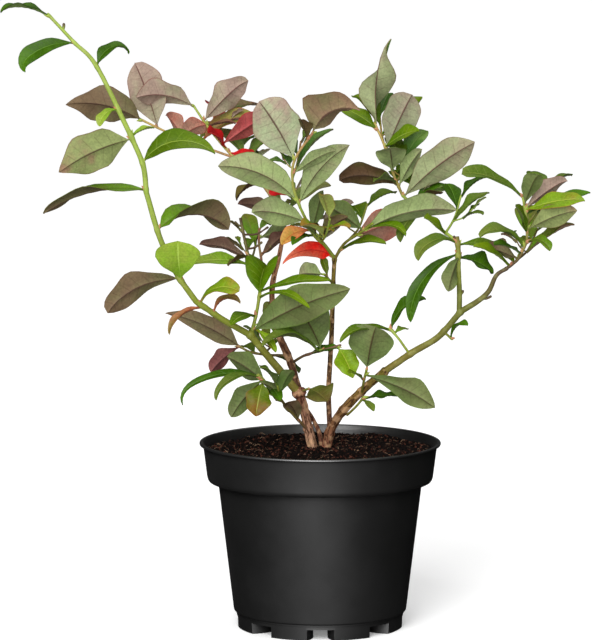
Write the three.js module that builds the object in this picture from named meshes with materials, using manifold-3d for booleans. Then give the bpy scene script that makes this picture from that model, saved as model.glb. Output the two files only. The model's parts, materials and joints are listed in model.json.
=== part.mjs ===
// A young blueberry bush in a two-litre nursery pot, in millimetres, +Z up.
// The origin is the centre of the pot's flat underside, and -Y is the bush's front.
// Bare stems and boughs are tapering limbs. Each foliage mass is one solid, a leafy shoot with its
// leaves and side twigs fused on. Every solid stays clear of its neighbours by GAP.
import * as THREE from "three";
import { mergeVertices } from "three/addons/utils/BufferGeometryUtils.js";
import Module from "manifold-3d";

const wasm = await Module();
wasm.setup();

const GAP = 0.3; // free space between neighbouring solids
const DEGREE = Math.PI / 180;

// Pot
const ROUND = 36; // facets round the pot and the soil
const POT_HEIGHT = 131;
const LIP_RADIUS = 85;
const LIP_DEPTH = 1.8;
const BAND_TOP_RADIUS = 82.5; // the rim band hangs under the lip
const BAND_FOOT_RADIUS = 79.5;
const BAND_FOOT = 105.5;
const BODY_TOP_RADIUS = 72;
const BODY_TOP = 103.5;
const BODY_FOOT_RADIUS = 61;
const FOOT_RADIUS = 59;
const FOOT_HEIGHT = 11;
const WALL = 1.8;
const BASE_THICK = 10;
const CHANNELS = 8; // drainage channels under the base
const CHANNEL_HEIGHT = 7.7;
const CHANNEL_WIDTH = 10;
const CHANNEL_MOUTH = 27;
const CHANNEL_START = 20; // the middle of the base stays flat
const CHANNEL_FLARE = 45;

// Soil
const SOIL_EDGE = 124.5;
const SOIL_TOP = 127; // level round the stems
const SOIL_LEVEL_RADIUS = 24;

// Shoots
const LIMB_SIDES = 6;
const LIMB_STEP = 9; // between the rings of a limb
const SHOOT_SIDES = 4;
const SHOOT_STEP = 14;
const TWIG_SIDES = 3;
const FOOT_FLARE = 0.35; // how much wider a stem is where it leaves the soil
const FLARE_LENGTH = 7;
const TWIG_RADII = [0.9, 0.7];
const TWIG_LEAVES = 3;
const LEAF_SEED = 1;
const TWIG_SEED = 101;

// Leaves
const LEAF_THICK = 1;
const ROOT_HALF = 0.6; // half the width of a leaf's root
const STATIONS = [0, 0.4, 0.74, 1]; // places of a leaf's sections, as shares of its length
const ARCHED_STATIONS = [0, 0.3, 0.52, 0.76, 1];
const ARCHED_DROOP = 45; // degrees
const FOLD = 10; // degrees that a leaf's halves rise from its midrib
const EXTRA_FOLD = 14;

const BROWN = 0x6b4630;
const TAN = 0x8a6a4c;
const OLIVE = 0x7d8a45;
const GREEN = 0x8da63f;

// Limbs: the path of each, and its radii at both ends.
const LIMBS = [
  { name: "left_stem", rooted: true, radii: [3.1, 3.2], colour: TAN,
    path: [[-5, 0, 127], [-8, -2, 139], [-11, -5, 153], [-15, -8, 166]] },
  { name: "right_stem", rooted: true, radii: [3.2, 2.8], colour: TAN,
    path: [[4.5, -1, 127], [9, -3, 143], [24, -9, 163], [45, -17, 183]] },
  { name: "thin_stem", rooted: true, radii: [1.6, 1.3], colour: BROWN,
    path: [[1, 7.5, 127], [-1, 6, 137], [-6, 3, 148], [-11, -4, 156]] },
  { name: "arching_bough", radii: [3.1, 2.7], colour: OLIVE,
    path: [[-15, -8, 166], [-25, -13, 179], [-35, -19, 192], [-49, -27, 210]] },
  { name: "middle_bough", radii: [2.7, 1.3], colour: BROWN,
    path: [[-15, -8, 166], [-21, 4, 187], [-30, 16, 208], [-34, 28, 234], [-29, 40, 258], [-26, 46, 273]] },
  { name: "centre_stem", radii: [1.9, 1.4], colour: BROWN,
    path: [[7, -2, 137], [6, 5, 165], [8, 9, 205], [9, 9, 237], [10, 8, 259]] },
  { name: "right_bough", radii: [2.7, 2.2], colour: OLIVE,
    path: [[45, -17, 183], [64, -23, 197], [82, -29, 209], [97, -34, 227]] },
  { name: "right_arm", radii: [2.15, 1.2], colour: GREEN,
    path: [[97, -34, 227], [109, -38, 235], [116, -41, 242], [121, -43, 253], [128, -44, 258]] },
  { name: "upright_stub", radii: [1.8, 1.7], colour: GREEN,
    path: [[96, -34, 227], [96, -34, 242], [95, -33, 261]] },
];

// Foliage masses: the path and radii of each shoot, its leaves, and its side twigs as a count, their
// heading and their reach. A leaf is its place along the shoot, heading, rise, length, width, droop
// and face, and for a strongly folded leaf its fold. Headings run from 0 at +X to 90 away from the
// front, and face is the tilt of the leaf's upper side from straight up towards the front, in degrees.
const SPRAYS = [
  { name: "arching_lower", radii: [2.6, 2],
    path: [[-49, -27, 210], [-67, -34, 221], [-86, -42, 235]],
    leaves: [[0.68, 310, -10, 21, 5, 50, 30], [0.85, 195, -30, 31, 6, 50, 30],
      [0.94, 335, 20, 32, 11, 70, 40]] },
  { name: "arching_middle", radii: [2, 1.8],
    path: [[-86, -42, 235], [-99, -49, 255], [-110, -56, 280], [-119, -63, 312]],
    leaves: [[0.25, 235, 45, 34, 29, 40, 75, 20], [0.28, 200, -30, 54, 22, 25, -50],
      [0.73, 15, 0, 54, 19, 70, -30]] },
  { name: "arching_upper", radii: [1.8, 1.7],
    path: [[-119, -63, 312], [-121, -66, 331], [-130, -68, 353]],
    leaves: [[0.05, 190, -12, 73, 19, 50, -35], [0.53, 350, 10, 55, 20, 90, 40],
      [0.91, 195, -22, 56, 25, 25, -55], [0.95, 35, 28, 20, 6, 20, 30]] },
  { name: "arching_tip", radii: [1.7, 1],
    path: [[-130, -68, 353], [-152, -68, 398], [-168, -66, 415], [-185, -62, 433]],
    leaves: [[0.11, 215, -35, 18, 7, 30, 30], [0.33, 35, 20, 30, 13, 75, 40],
      [0.64, 200, -26, 46, 17, 80, 50], [0.97, 195, 8, 36, 15, 60, 35]] },
  { name: "inner_left", radii: [1.3, 1.1],
    path: [[-26, 46, 273], [-30, 54, 288], [-41, 64, 308], [-63, 78, 327]],
    leaves: [[0.41, 145, 10, 25, 11, 30, -30], [0.57, 120, 20, 29, 9, 20, -30],
      [0.61, 315, -8, 20, 7, 30, 40], [0.67, 230, -18, 30, 9, 30, 10], [0.92, 310, -12, 27, 9, 40, 20]],
    twigs: [2, 85, 34] },
  { name: "upper_left", radii: [1.1, 0.8],
    path: [[-63, 78, 327], [-79, 86, 345], [-91, 92, 362]],
    leaves: [[0.05, 295, 10, 30, 9, 30, 20], [0.13, 240, 25, 29, 11, 30, 40],
      [0.22, 25, 35, 33, 13, 10, -30], [0.58, 320, 20, 22, 6, 30, 20], [0.68, 20, 42, 45, 19, 15, -55],
      [0.98, 165, 10, 44, 17, 25, -50]],
    twigs: [1, 90, 26] },
  { name: "far_left", radii: [0.9, 0.8],
    path: [[-60, 77, 325], [-83, 79, 333], [-102, 80, 340], [-129, 80, 353]],
    leaves: [[0.58, 125, 35, 31, 14, 20, -40], [0.65, 315, 30, 31, 10, 30, -30],
      [0.85, 225, 65, 50, 27, 15, -60], [0.98, 190, 10, 55, 16, 35, -45]],
    twigs: [1, 95, 28] },
  { name: "top_centre", radii: [1, 0.8],
    path: [[-14, -24, 298], [-19, -30, 314], [-18, -36, 332], [-5, -40, 352]],
    leaves: [[0.06, 20, 50, 51, 19, 20, -55], [0.11, 190, 24, 63, 22, 25, -60],
      [0.49, 25, 25, 35, 13, 20, -50], [0.66, 160, 60, 48, 29, 15, -65], [0.91, 255, 40, 22, 7, 30, 30],
      [0.98, 340, 35, 44, 26, 80, -45]],
    twigs: [1, 80, 36] },
  { name: "centre_fork", radii: [1.3, 1],
    path: [[10, 8, 260], [3, 0, 270], [-5, -10, 279], [-14, -24, 298]],
    leaves: [[0.22, 220, 0, 28, 15, 30, 55], [0.42, 50, 45, 38, 12, 20, -50],
      [0.5, 310, 40, 28, 13, 30, -30], [0.52, 295, 18, 29, 6, 50, 20], [0.58, 215, -30, 35, 13, 40, 50],
      [0.64, 235, -8, 28, 8, 30, 20], [0.69, 55, 55, 27, 13, 20, 30], [0.77, 215, -25, 25, 7, 70, 20],
      [0.83, 165, 8, 39, 14, 25, -50]],
    twigs: [1, 285, 34] },
  { name: "centre_right", radii: [1.1, 0.8],
    path: [[10, 8, 259], [17, 0, 271], [28, -12, 280], [36, -22, 287]],
    leaves: [[0.18, 330, 10, 36, 10, 30, 25], [0.59, 335, 0, 34, 9, 50, 20],
      [0.73, 150, 32, 36, 15, 30, -40], [0.75, 350, 14, 68, 20, 25, -55],
      [0.92, 40, 8, 37, 13, 20, -50]],
    twigs: [1, 80, 50] },
  { name: "centre_low", radii: [0.9, 0.8],
    path: [[9, 8, 242], [5, -2, 247], [3, -8, 250]],
    leaves: [[0.46, 120, 60, 18, 5, 20, 20], [0.98, 210, 48, 17, 14, 20, 60]] },
  { name: "left_twig", radii: [1.2, 1.1],
    path: [[-48, -27, 210], [-44, -21, 227], [-42, -14, 240]],
    leaves: [[0.08, 345, 24, 77, 24, 20, -60], [0.15, 300, -32, 22, 6, 30, 20],
      [0.36, 235, -6, 31, 8, 50, 30], [0.82, 285, 58, 30, 22, 20, 80, 32],
      [0.97, 345, 10, 52, 12, 25, 25]] },
  { name: "left_twig_top", radii: [1.1, 1],
    path: [[-42, -14, 240], [-48, -9, 254], [-52, -4, 270], [-56, 0, 289]],
    leaves: [[0.39, 205, 10, 41, 12, 55, 40], [0.48, 160, 12, 38, 9, 25, 15],
      [0.53, 235, -10, 25, 6, 20, 20], [0.83, 140, 30, 21, 9, 20, -30]],
    twigs: [1, 95, 36] },
  { name: "thin_twig", radii: [0.9, 0.8],
    path: [[-41, -12, 242], [-41, 6, 256], [-43, 14, 269], [-43, 20, 279]],
    leaves: [[0.46, 40, 32, 26, 13, 20, -30], [0.8, 30, 5, 23, 14, 30, 40],
      [0.98, 65, 8, 20, 6, 20, 20]] },
  { name: "low_left", radii: [1.1, 0.9],
    path: [[-9, -4, 140], [-21, -18, 155], [-31, -28, 169], [-43, -36, 183]],
    leaves: [[0.16, 250, 35, 29, 12, 30, -40], [0.71, 300, 25, 18, 5, 20, 30],
      [0.76, 285, -12, 25, 8, 30, 30], [0.86, 145, 28, 32, 12, 20, -45],
      [0.91, 250, -58, 28, 16, 25, 60], [0.92, 205, -45, 38, 14, 25, -40],
      [0.95, 215, -22, 41, 8, 55, 20], [0.98, 190, -20, 64, 10, 80, 25]],
    twigs: [1, 275, 28] },
  { name: "behind_left", radii: [1, 0.8],
    path: [[-24, 8, 191], [-36, 18, 190], [-49, 26, 191], [-58, 30, 195]],
    leaves: [[0.16, 50, -32, 28, 10, 30, 20], [0.57, 115, 8, 22, 8, 20, 20],
      [0.93, 170, 24, 59, 16, 15, -55], [0.97, 210, -35, 29, 12, 25, 35]],
    twigs: [1, 90, 34] },
  { name: "link", radii: [1, 0.8],
    path: [[-19, 2, 187], [-11, -8, 193], [1, -12, 197], [14, -14, 201]],
    leaves: [[0.37, 345, 14, 24, 11, 20, 20], [0.62, 222, 8, 54, 13, 75, 30],
      [0.66, 255, 68, 27, 21, 25, 75, 36], [0.94, 320, -56, 24, 17, 25, 55, 25]] },
  { name: "fork_leaf", radii: [0.9, 0.8],
    path: [[-13, -10, 168], [-8, -18, 171]],
    leaves: [[0.92, 300, 0, 24, 12, 50, 20]] },
  { name: "right_low", radii: [0.9, 0.8],
    path: [[29, -12, 167], [30, -24, 176], [32, -32, 186]],
    leaves: [[0.62, 240, 20, 24, 8, 30, 30], [0.81, 350, -24, 54, 18, 20, -40],
      [0.96, 320, 66, 30, 29, 20, 75, 36]] },
  { name: "low_spur", radii: [0.9, 0.8],
    path: [[19, -8, 151], [25, -16, 158], [30, -22, 165]],
    leaves: [[0.93, 300, -22, 17, 6, 30, 20], [0.98, 355, 5, 22, 9, 20, 15]] },
  { name: "right_twiglet", radii: [0.9, 0.8],
    path: [[62, -23, 196], [55, -24, 206], [49, -22, 213]],
    leaves: [[0.82, 55, 5, 18, 7, 30, 20], [0.96, 200, -8, 37, 10, 65, 30],
      [0.98, 340, 42, 36, 12, 75, 30]] },
  { name: "bough_curl", radii: [0.9, 0.8],
    path: [[86, -30, 212], [91, -36, 208]],
    leaves: [[0.85, 330, 34, 19, 8, 40, 20]] },
  { name: "stub_crown", radii: [1.7, 1.6],
    path: [[95, -33, 261], [95, -33, 271], [94, -33, 279]],
    leaves: [[0.19, 45, -30, 24, 8, 40, 20], [0.22, 250, -42, 32, 12, 40, 40],
      [0.29, 200, -52, 63, 10, 75, 40], [0.63, 30, -12, 24, 9, 50, 20],
      [0.72, 225, -28, 38, 10, 65, 15]] },
  { name: "top_right_low", radii: [1.2, 1],
    path: [[94, -33, 276], [83, -16, 283], [72, 2, 292], [58, 20, 303]],
    leaves: [[0.21, 235, 25, 31, 11, 20, 50], [0.66, 225, -48, 32, 11, 65, 10],
      [0.81, 310, 22, 32, 10, 25, -20], [0.85, 30, 22, 32, 11, 20, 20],
      [0.98, 350, 34, 63, 21, 15, -55]],
    twigs: [2, 80, 42] },
  { name: "top_right", radii: [1, 0.8],
    path: [[58, 20, 303], [52, 34, 317], [46, 48, 336], [39, 58, 352]],
    leaves: [[0.14, 40, 50, 33, 16, 20, -40], [0.16, 180, 0, 42, 14, 45, -40],
      [0.22, 235, 5, 30, 8, 30, -30], [0.36, 265, 38, 33, 19, 20, 60, 25],
      [0.61, 40, 72, 42, 25, 10, -60], [0.65, 320, 24, 33, 11, 30, 30], [0.88, 165, 30, 32, 14, 25, 30],
      [0.98, 210, 100, 66, 20, -55, -50]],
    twigs: [2, 90, 30] },
  { name: "right_end_low", radii: [1.1, 1],
    path: [[128, -44, 258], [136, -44, 265], [142, -42, 277]],
    leaves: [[0.14, 215, 26, 36, 12, 35, 30], [0.48, 150, 15, 24, 12, 25, -40],
      [0.66, 230, 15, 33, 9, 30, 20], [0.83, 195, 15, 38, 12, 85, -20],
      [0.94, 325, -12, 21, 12, 90, 20]],
    twigs: [1, 85, 50] },
  { name: "right_end", radii: [1, 0.8],
    path: [[142, -42, 277], [142, -40, 290], [139, -36, 308]],
    leaves: [[0.18, 245, 45, 31, 10, 25, 40], [0.32, 350, 22, 33, 14, 15, -40],
      [0.67, 15, 16, 49, 10, 15, 20], [0.72, 345, 12, 42, 13, 15, 30], [0.76, 20, 32, 37, 14, 15, -40],
      [0.82, 300, 54, 27, 12, 20, 50], [0.96, 195, 22, 48, 11, 35, 45]],
    twigs: [1, 80, 40] },
];

// A dice that gives the same throws on every run.
function makeDice(seed) {
  let state = seed;
  return () => {
    state = (state * 1664525 + 1013904223) % 4294967296;
    return state / 4294967296;
  };
}

function vector([x, y, z]) {
  return new THREE.Vector3(x, y, z);
}

function direction(heading, rise) {
  const flat = Math.cos(rise * DEGREE);
  return new THREE.Vector3(
    flat * Math.cos(heading * DEGREE),
    flat * Math.sin(heading * DEGREE),
    Math.sin(rise * DEGREE),
  );
}

function solidOf(geometry) {
  const bare = geometry.clone();
  bare.deleteAttribute("normal");
  bare.deleteAttribute("uv");
  const merged = mergeVertices(bare, 1e-3);
  return new wasm.Manifold(
    new wasm.Mesh({
      numProp: 3,
      vertProperties: merged.attributes.position.array,
      triVerts: new Uint32Array(merged.index.array),
    }),
  );
}

function geometryOf(solid) {
  const { vertProperties, triVerts } = solid.getMesh();
  const geometry = new THREE.BufferGeometry();
  geometry.setAttribute("position", new THREE.BufferAttribute(vertProperties, 3));
  geometry.setIndex(new THREE.BufferAttribute(triVerts, 1));
  geometry.computeVertexNormals();
  return geometry;
}

// The one body that counts, where cutting has left a loose scrap.
function mainBody(solid) {
  return solid.decompose().reduce((best, body) => (body.volume() > best.volume() ? body : best));
}

function touches(a, b) {
  return !a.intersect(b).isEmpty();
}

// A closed solid through rings of points that turn anticlockwise seen from the far end. A last ring
// of one point is a pointed tip.
function loft(rings) {
  const around = rings[0].length;
  const positions = rings.flat().flatMap((point) => point.toArray());
  const faces = [];
  const last = (rings.length - 1) * around;
  for (let j = 1; j < around - 1; j++) faces.push(0, j + 1, j);
  for (let k = 1; k < rings.length; k++) {
    for (let j = 0; j < around; j++) {
      const a = (k - 1) * around + j;
      const b = (k - 1) * around + ((j + 1) % around);
      if (rings[k].length === 1) faces.push(a, b, last);
      else faces.push(a, b, b + around, a, b + around, a + around);
    }
  }
  if (rings.at(-1).length > 1) {
    for (let j = 1; j < around - 1; j++) faces.push(last, last + j, last + j + 1);
  }
  const geometry = new THREE.BufferGeometry();
  geometry.setAttribute("position", new THREE.Float32BufferAttribute(positions, 3));
  geometry.setIndex(faces);
  return solidOf(geometry);
}

function curveThrough(path) {
  return new THREE.CatmullRomCurve3(path.map(vector), false, "catmullrom", 0.5);
}

// A tapering limb along a path. spare makes it thicker and longer all round.
function limb({ path, radii, rooted }, sides, spare = 0) {
  const curve = curveThrough(path);
  const spacing = sides === LIMB_SIDES ? LIMB_STEP : SHOOT_STEP;
  const steps = Math.max(2, Math.round(curve.getLength() / spacing));
  const across = new THREE.Vector3(0, 1, 0);
  const rings = [];
  for (let k = 0; k <= steps; k++) {
    const share = k / steps;
    const centre = curve.getPoint(share);
    const along = curve.getTangent(share);
    if (k === 0) centre.addScaledVector(along, -spare);
    if (k === steps) centre.addScaledVector(along, spare);
    across.addScaledVector(along, -across.dot(along)).normalize();
    const side = new THREE.Vector3().crossVectors(along, across);
    const flare = rooted ? 1 + FOOT_FLARE * Math.exp((SOIL_TOP - centre.z) / FLARE_LENGTH) : 1;
    const radius = THREE.MathUtils.lerp(radii[0], radii[1], share) * flare + spare;
    rings.push(
      Array.from({ length: sides }, (_, j) => {
        const angle = (2 * Math.PI * j) / sides;
        return centre
          .clone()
          .addScaledVector(across, radius * Math.cos(angle))
          .addScaledVector(side, radius * Math.sin(angle));
      }),
    );
  }
  return loft(rings);
}

function bladeHalfWidth(share, width) {
  const swell = Math.pow(4 * share * (1 - share), 0.75);
  return ROOT_HALF + (width / 2 - ROOT_HALF) * swell;
}

// A leaf with a lens-shaped section, bent along an arc that starts in the shoot.
function leaf(start, [heading, rise, length, width, droop, face, fold], spare = 0) {
  const up = new THREE.Vector3(0, -Math.sin(face * DEGREE), Math.cos(face * DEGREE));
  const centre = start.clone();
  const rings = [];
  let travelled = 0;
  for (const share of droop > ARCHED_DROOP ? ARCHED_STATIONS : STATIONS) {
    const pitchAt = (s) => rise + droop * (0.5 - s);
    const chord = direction(heading, pitchAt((share + travelled) / 2));
    centre.addScaledVector(chord, (share - travelled) * length);
    travelled = share;
    if (share === 1) {
      rings.push([centre.clone().addScaledVector(direction(heading, pitchAt(1)), spare)]);
      break;
    }
    const along = direction(heading, pitchAt(share));
    const normal = up.clone().addScaledVector(along, -up.dot(along)).normalize();
    const side = new THREE.Vector3().crossVectors(normal, along);
    const half = bladeHalfWidth(share, width) + spare;
    const lift = share > 0 ? fold * DEGREE : 0;
    const thick = LEAF_THICK / 2 + spare;
    const edge = (way) =>
      centre
        .clone()
        .addScaledVector(side, way * half * Math.cos(lift))
        .addScaledVector(normal, half * Math.sin(lift));
    const middle = (way) => centre.clone().addScaledVector(normal, way * thick);
    rings.push([edge(1), middle(1), edge(-1), middle(-1)]);
  }
  return loft(rings);
}

// One side twig by the seeded rule: it leaves the shoot to either side of the heading in turn, and
// carries alternate leaves that shorten towards its tip.
function grownTwig(shoot, index, [count, heading, reach], dice) {
  const start = shoot.getPoint((index + 0.35 + 0.3 * dice()) / count);
  const turn = heading + (index % 2 ? 1 : -1) * 25 * dice();
  const rise = 10 + 25 * dice();
  const half = (reach / 2) * (0.85 + 0.3 * dice());
  const bend = start.clone().addScaledVector(direction(turn, rise), half);
  const end = bend.clone().addScaledVector(direction(turn, rise + 20), half);
  const path = [start, bend, end].map((point) => point.toArray());
  const curve = curveThrough(path);
  const leaves = Array.from({ length: TWIG_LEAVES }, (_, k) => {
    const outward = k / (TWIG_LEAVES - 1);
    const way = (k % 2 ? 1 : -1) * (1 - 0.6 * outward);
    const length = (42 - 10 * outward) * (0.8 + 0.4 * dice());
    return {
      start: curve.getPoint(0.4 + 0.58 * outward),
      shape: [turn + way * (40 + 25 * dice()), 5 + 40 * dice(), length, length * 0.42, 20 + 40 * dice(),
        -30 + 60 * dice(), FOLD + EXTRA_FOLD * dice()],
    };
  });
  return { path, leaves };
}

// A foliage mass takes its leaves and twigs only where they stay free of all other solids.
function withLeaf(mass, others, start, shape) {
  const spaced = leaf(start, shape, GAP);
  return others.some((other) => touches(spaced, other)) ? mass : mass.add(leaf(start, shape));
}

function withOwnLeaves(plan, shootSolid, others, dice) {
  const shoot = curveThrough(plan.path);
  return plan.leaves.reduce((mass, [share, heading, rise, length, width, droop, face, fold]) => {
    const plainFold = FOLD + EXTRA_FOLD * dice();
    const shape = [heading, rise, length, width, droop, face, fold ?? plainFold];
    return withLeaf(mass, others, shoot.getPoint(share), shape);
  }, shootSolid);
}

function withGrownTwigs(plan, leafy, others, dice) {
  const shoot = curveThrough(plan.path);
  let mass = leafy;
  for (let k = 0; k < plan.twigs[0]; k++) {
    const { path, leaves } = grownTwig(shoot, k, plan.twigs, dice);
    const twig = { path, radii: TWIG_RADII };
    const spaced = limb(twig, TWIG_SIDES, GAP);
    if (others.some((other) => touches(spaced, other))) continue;
    mass = mass.add(limb(twig, TWIG_SIDES));
    for (const { start, shape } of leaves) mass = withLeaf(mass, others, start, shape);
  }
  return mass;
}

function channelCutter(angle) {
  const shape = new THREE.Shape();
  shape.moveTo(CHANNEL_START, -CHANNEL_WIDTH / 2);
  shape.lineTo(CHANNEL_FLARE, -CHANNEL_WIDTH / 2);
  shape.quadraticCurveTo(FOOT_RADIUS - 2, -CHANNEL_WIDTH / 2, FOOT_RADIUS + 4, -CHANNEL_MOUTH / 2);
  shape.lineTo(FOOT_RADIUS + 4, CHANNEL_MOUTH / 2);
  shape.quadraticCurveTo(FOOT_RADIUS - 2, CHANNEL_WIDTH / 2, CHANNEL_FLARE, CHANNEL_WIDTH / 2);
  shape.lineTo(CHANNEL_START, CHANNEL_WIDTH / 2);
  const cutter = new THREE.ExtrudeGeometry(shape, {
    depth: CHANNEL_HEIGHT + 1,
    bevelEnabled: false,
    curveSegments: 4,
  });
  return solidOf(cutter.translate(0, 0, -1).rotateZ(angle));
}

function turned(profile) {
  const points = profile.map(([radius, height]) => new THREE.Vector2(radius, height));
  return solidOf(new THREE.LatheGeometry(points, ROUND).rotateX(Math.PI / 2));
}

function potSolid() {
  const shell = turned([
    [0, 0],
    [FOOT_RADIUS - 0.4, 0],
    [FOOT_RADIUS, FOOT_HEIGHT],
    [BODY_FOOT_RADIUS, FOOT_HEIGHT + 0.4],
    [BODY_TOP_RADIUS, BODY_TOP],
    [BAND_FOOT_RADIUS - 1.5, BODY_TOP + 0.2],
    [BAND_FOOT_RADIUS, BAND_FOOT],
    [BAND_TOP_RADIUS, POT_HEIGHT - LIP_DEPTH],
    [LIP_RADIUS, POT_HEIGHT - LIP_DEPTH],
    [LIP_RADIUS, POT_HEIGHT - 0.5],
    [LIP_RADIUS - 0.6, POT_HEIGHT],
    [BAND_TOP_RADIUS - WALL + 1, POT_HEIGHT],
    [BAND_FOOT_RADIUS - WALL, BAND_FOOT + WALL],
    [BODY_TOP_RADIUS - WALL, BODY_TOP + WALL],
    [BODY_FOOT_RADIUS - WALL, BASE_THICK],
    [0, BASE_THICK],
  ]);
  const turn = (2 * Math.PI) / CHANNELS;
  const cutters = Array.from({ length: CHANNELS }, (_, k) => channelCutter(k * turn));
  return cutters.reduce((pot, cutter) => pot.subtract(cutter), shell);
}

function soilSolid() {
  const inside = WALL + 2 * GAP;
  return turned([
    [0, BASE_THICK + GAP],
    [BODY_FOOT_RADIUS - inside, BASE_THICK + GAP],
    [BODY_TOP_RADIUS - inside, BODY_TOP + WALL],
    [BAND_FOOT_RADIUS - inside, BAND_FOOT + WALL + GAP],
    [BAND_TOP_RADIUS - inside, SOIL_EDGE],
    [SOIL_LEVEL_RADIUS, SOIL_TOP],
    [0, SOIL_TOP],
  ]);
}

// Everything under a stem's flat foot.
function groundBlock() {
  const depth = 40;
  const block = new THREE.BoxGeometry(60, 60, depth);
  return solidOf(block.translate(0, 0, SOIL_TOP + GAP - depth / 2));
}

// All shoots come first, each cut clear of those before it, then the leaves of every shoot, and then
// the grown twigs where there is still room.
function plant() {
  const ground = groundBlock();
  const shoots = [
    ...LIMBS.map((plan) => ({ plan, sides: LIMB_SIDES })),
    ...SPRAYS.map((plan) => ({ plan, sides: SHOOT_SIDES })),
  ];
  const bodies = shoots.map(({ plan, sides }, index) => {
    const before = shoots.slice(0, index).map((earlier) => limb(earlier.plan, earlier.sides, GAP));
    const body = before.reduce((rest, spaced) => rest.subtract(spaced), limb(plan, sides));
    return mainBody(plan.rooted ? body.subtract(ground) : body);
  });
  const dress = (step, seed) =>
    SPRAYS.forEach((plan, index) => {
      const own = LIMBS.length + index;
      if (step === withGrownTwigs && !plan.twigs) return;
      const others = bodies.filter((_, k) => k !== own);
      bodies[own] = mainBody(step(plan, bodies[own], others, makeDice(seed + index)));
    });
  dress(withOwnLeaves, LEAF_SEED);
  dress(withGrownTwigs, TWIG_SEED);
  return bodies;
}

function meshOf(name, solid, color, roughness) {
  const material = new THREE.MeshStandardMaterial({ color, roughness, metalness: 0, flatShading: true });
  const mesh = new THREE.Mesh(geometryOf(solid), material);
  mesh.name = name;
  return mesh;
}

const bush = new THREE.Group();
bush.add(meshOf("pot", potSolid(), 0x1b1c1e, 0.45));
bush.add(meshOf("potting_soil", soilSolid(), 0x2e2019, 0.95));
plant().forEach((body, index) => {
  const bough = LIMBS[index];
  if (bough) bush.add(meshOf(bough.name, body, bough.colour, 0.75));
  else bush.add(meshOf("foliage_" + SPRAYS[index - LIMBS.length].name, body, 0x5f7a3c, 0.6));
});

export default bush;
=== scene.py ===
"""A young blueberry bush in a two-litre nursery pot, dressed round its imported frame.

The tables are in millimetres and the meshes in metres. Boughs and shoots follow the paths of their
solids and bear the leaves of the tables. Side twigs grow on them by the solids' own seeded rule, which
goes on to finer twigs within the same reach, and buds, spurs and bark are finer still.
"""
import json
import math
from dataclasses import dataclass

import bpy
import numpy as np
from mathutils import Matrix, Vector, noise
from mathutils.bvhtree import BVHTree


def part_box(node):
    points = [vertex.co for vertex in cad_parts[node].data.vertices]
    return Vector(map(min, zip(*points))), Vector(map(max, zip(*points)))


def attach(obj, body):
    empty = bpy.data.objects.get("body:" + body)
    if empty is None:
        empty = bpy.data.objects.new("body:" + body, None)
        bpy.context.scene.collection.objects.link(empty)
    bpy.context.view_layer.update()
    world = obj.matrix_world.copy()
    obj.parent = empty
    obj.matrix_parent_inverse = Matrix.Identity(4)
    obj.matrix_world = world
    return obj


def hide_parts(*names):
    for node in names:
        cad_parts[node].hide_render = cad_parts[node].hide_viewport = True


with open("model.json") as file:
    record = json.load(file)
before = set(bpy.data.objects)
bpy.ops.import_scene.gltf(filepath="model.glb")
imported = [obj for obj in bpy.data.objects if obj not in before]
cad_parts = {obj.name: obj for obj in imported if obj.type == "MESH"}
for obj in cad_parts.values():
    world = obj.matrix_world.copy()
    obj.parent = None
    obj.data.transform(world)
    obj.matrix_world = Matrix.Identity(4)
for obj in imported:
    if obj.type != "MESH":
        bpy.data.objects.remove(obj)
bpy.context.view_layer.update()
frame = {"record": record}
SLOT_OF = {part["node"]: part["material_slot"] for part in frame["record"]["subparts"]}

MM = 0.001

# Pot
POT_SIDES = 144
POT_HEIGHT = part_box("pot")[1].z / MM
LIP_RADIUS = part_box("pot")[1].x / MM
LIP_DEPTH = 1.8
LIP_WIDTH = 2.6
BAND_TOP_RADIUS = 82.5
BAND_FOOT_RADIUS = 79.5
BAND_FOOT = 105.5
BODY_TOP_RADIUS = 72
BODY_TOP = 103.5
BODY_FOOT_RADIUS = 61
FOOT_RADIUS = 59
FOOT_HEIGHT = 11
WALL = 1.4
BASE_THICK = 10
CHANNELS = 8
CHANNEL_HEIGHT = 7.7
CHANNEL_WIDTH = 10
CHANNEL_MOUTH = 27
CHANNEL_FLARE = 45  # the radius at which a channel begins to open out
CUTTER_START = -6  # a little past the pot's middle
CUTTER_BELOW = 2
CUTTER_BEYOND = 4

# Soil
SOIL_EDGE = 124.5
SOIL_TOP = 127
SOIL_RADIUS = 80
SOIL_GAP = 0.6  # to the inside of the pot's wall
LEDGE_GAP = 0.3  # to its base and ledge
LEVEL_RADIUS = 24
MOUND = (38, 40)
MOUND_HEIGHT = 2.2
BED_SIDES = 120
BED_RINGS = 48
RING_WIDTH = 1.6
CRUMBS = 3400
FIBRES = 460
# The least, and what the dice adds
CRUMB_SIZES = (0.35, 1.1)
FIBRE_LENGTHS = (1.4, 4.2)
FIBRE_RADII = (0.1, 0.12)

# Shoots
LIMB_SIDES = 24
LIMB_SPACING = 0.9
SHOOT_SIDES = 12
SHOOT_SPACING = 1.5
TWIG_SIDES = 8
TWIG_SPACING = 2.2
FOOT_FLARE = 0.06
FLARE_LENGTH = 7
SWELLING = 0.16  # where a leaf or a shoot leaves a stem, as a share of the stem's radius
SWELLING_LENGTH = 1.8
FORK_REACH = 2.5  # how far off a stem's bark a shoot that leaves it may start
FOOT_LENGTH = 4  # no swelling is as near as this to a stem's foot
TWIG_RADII = (0.9, 0.7)
FINE_TWIG_RADII = (0.6, 0.45)
SPUR_RADII = (0.75, 0.55)
SPUR_SPACING = 1.2
SHOOT_BARK = 0.15
SPUR_BARK = 0.5
BUD_BARK = 0.2
TWIG_LEAVES = 3
FIRST_LEAF = 0.4  # the share of a side twig at its first leaf
LEAF_SPAN = 0.58  # and between its first leaf and its last
TWIG_LEAF_LENGTH = 42
FINE_LEAF_LENGTH = 21
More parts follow.
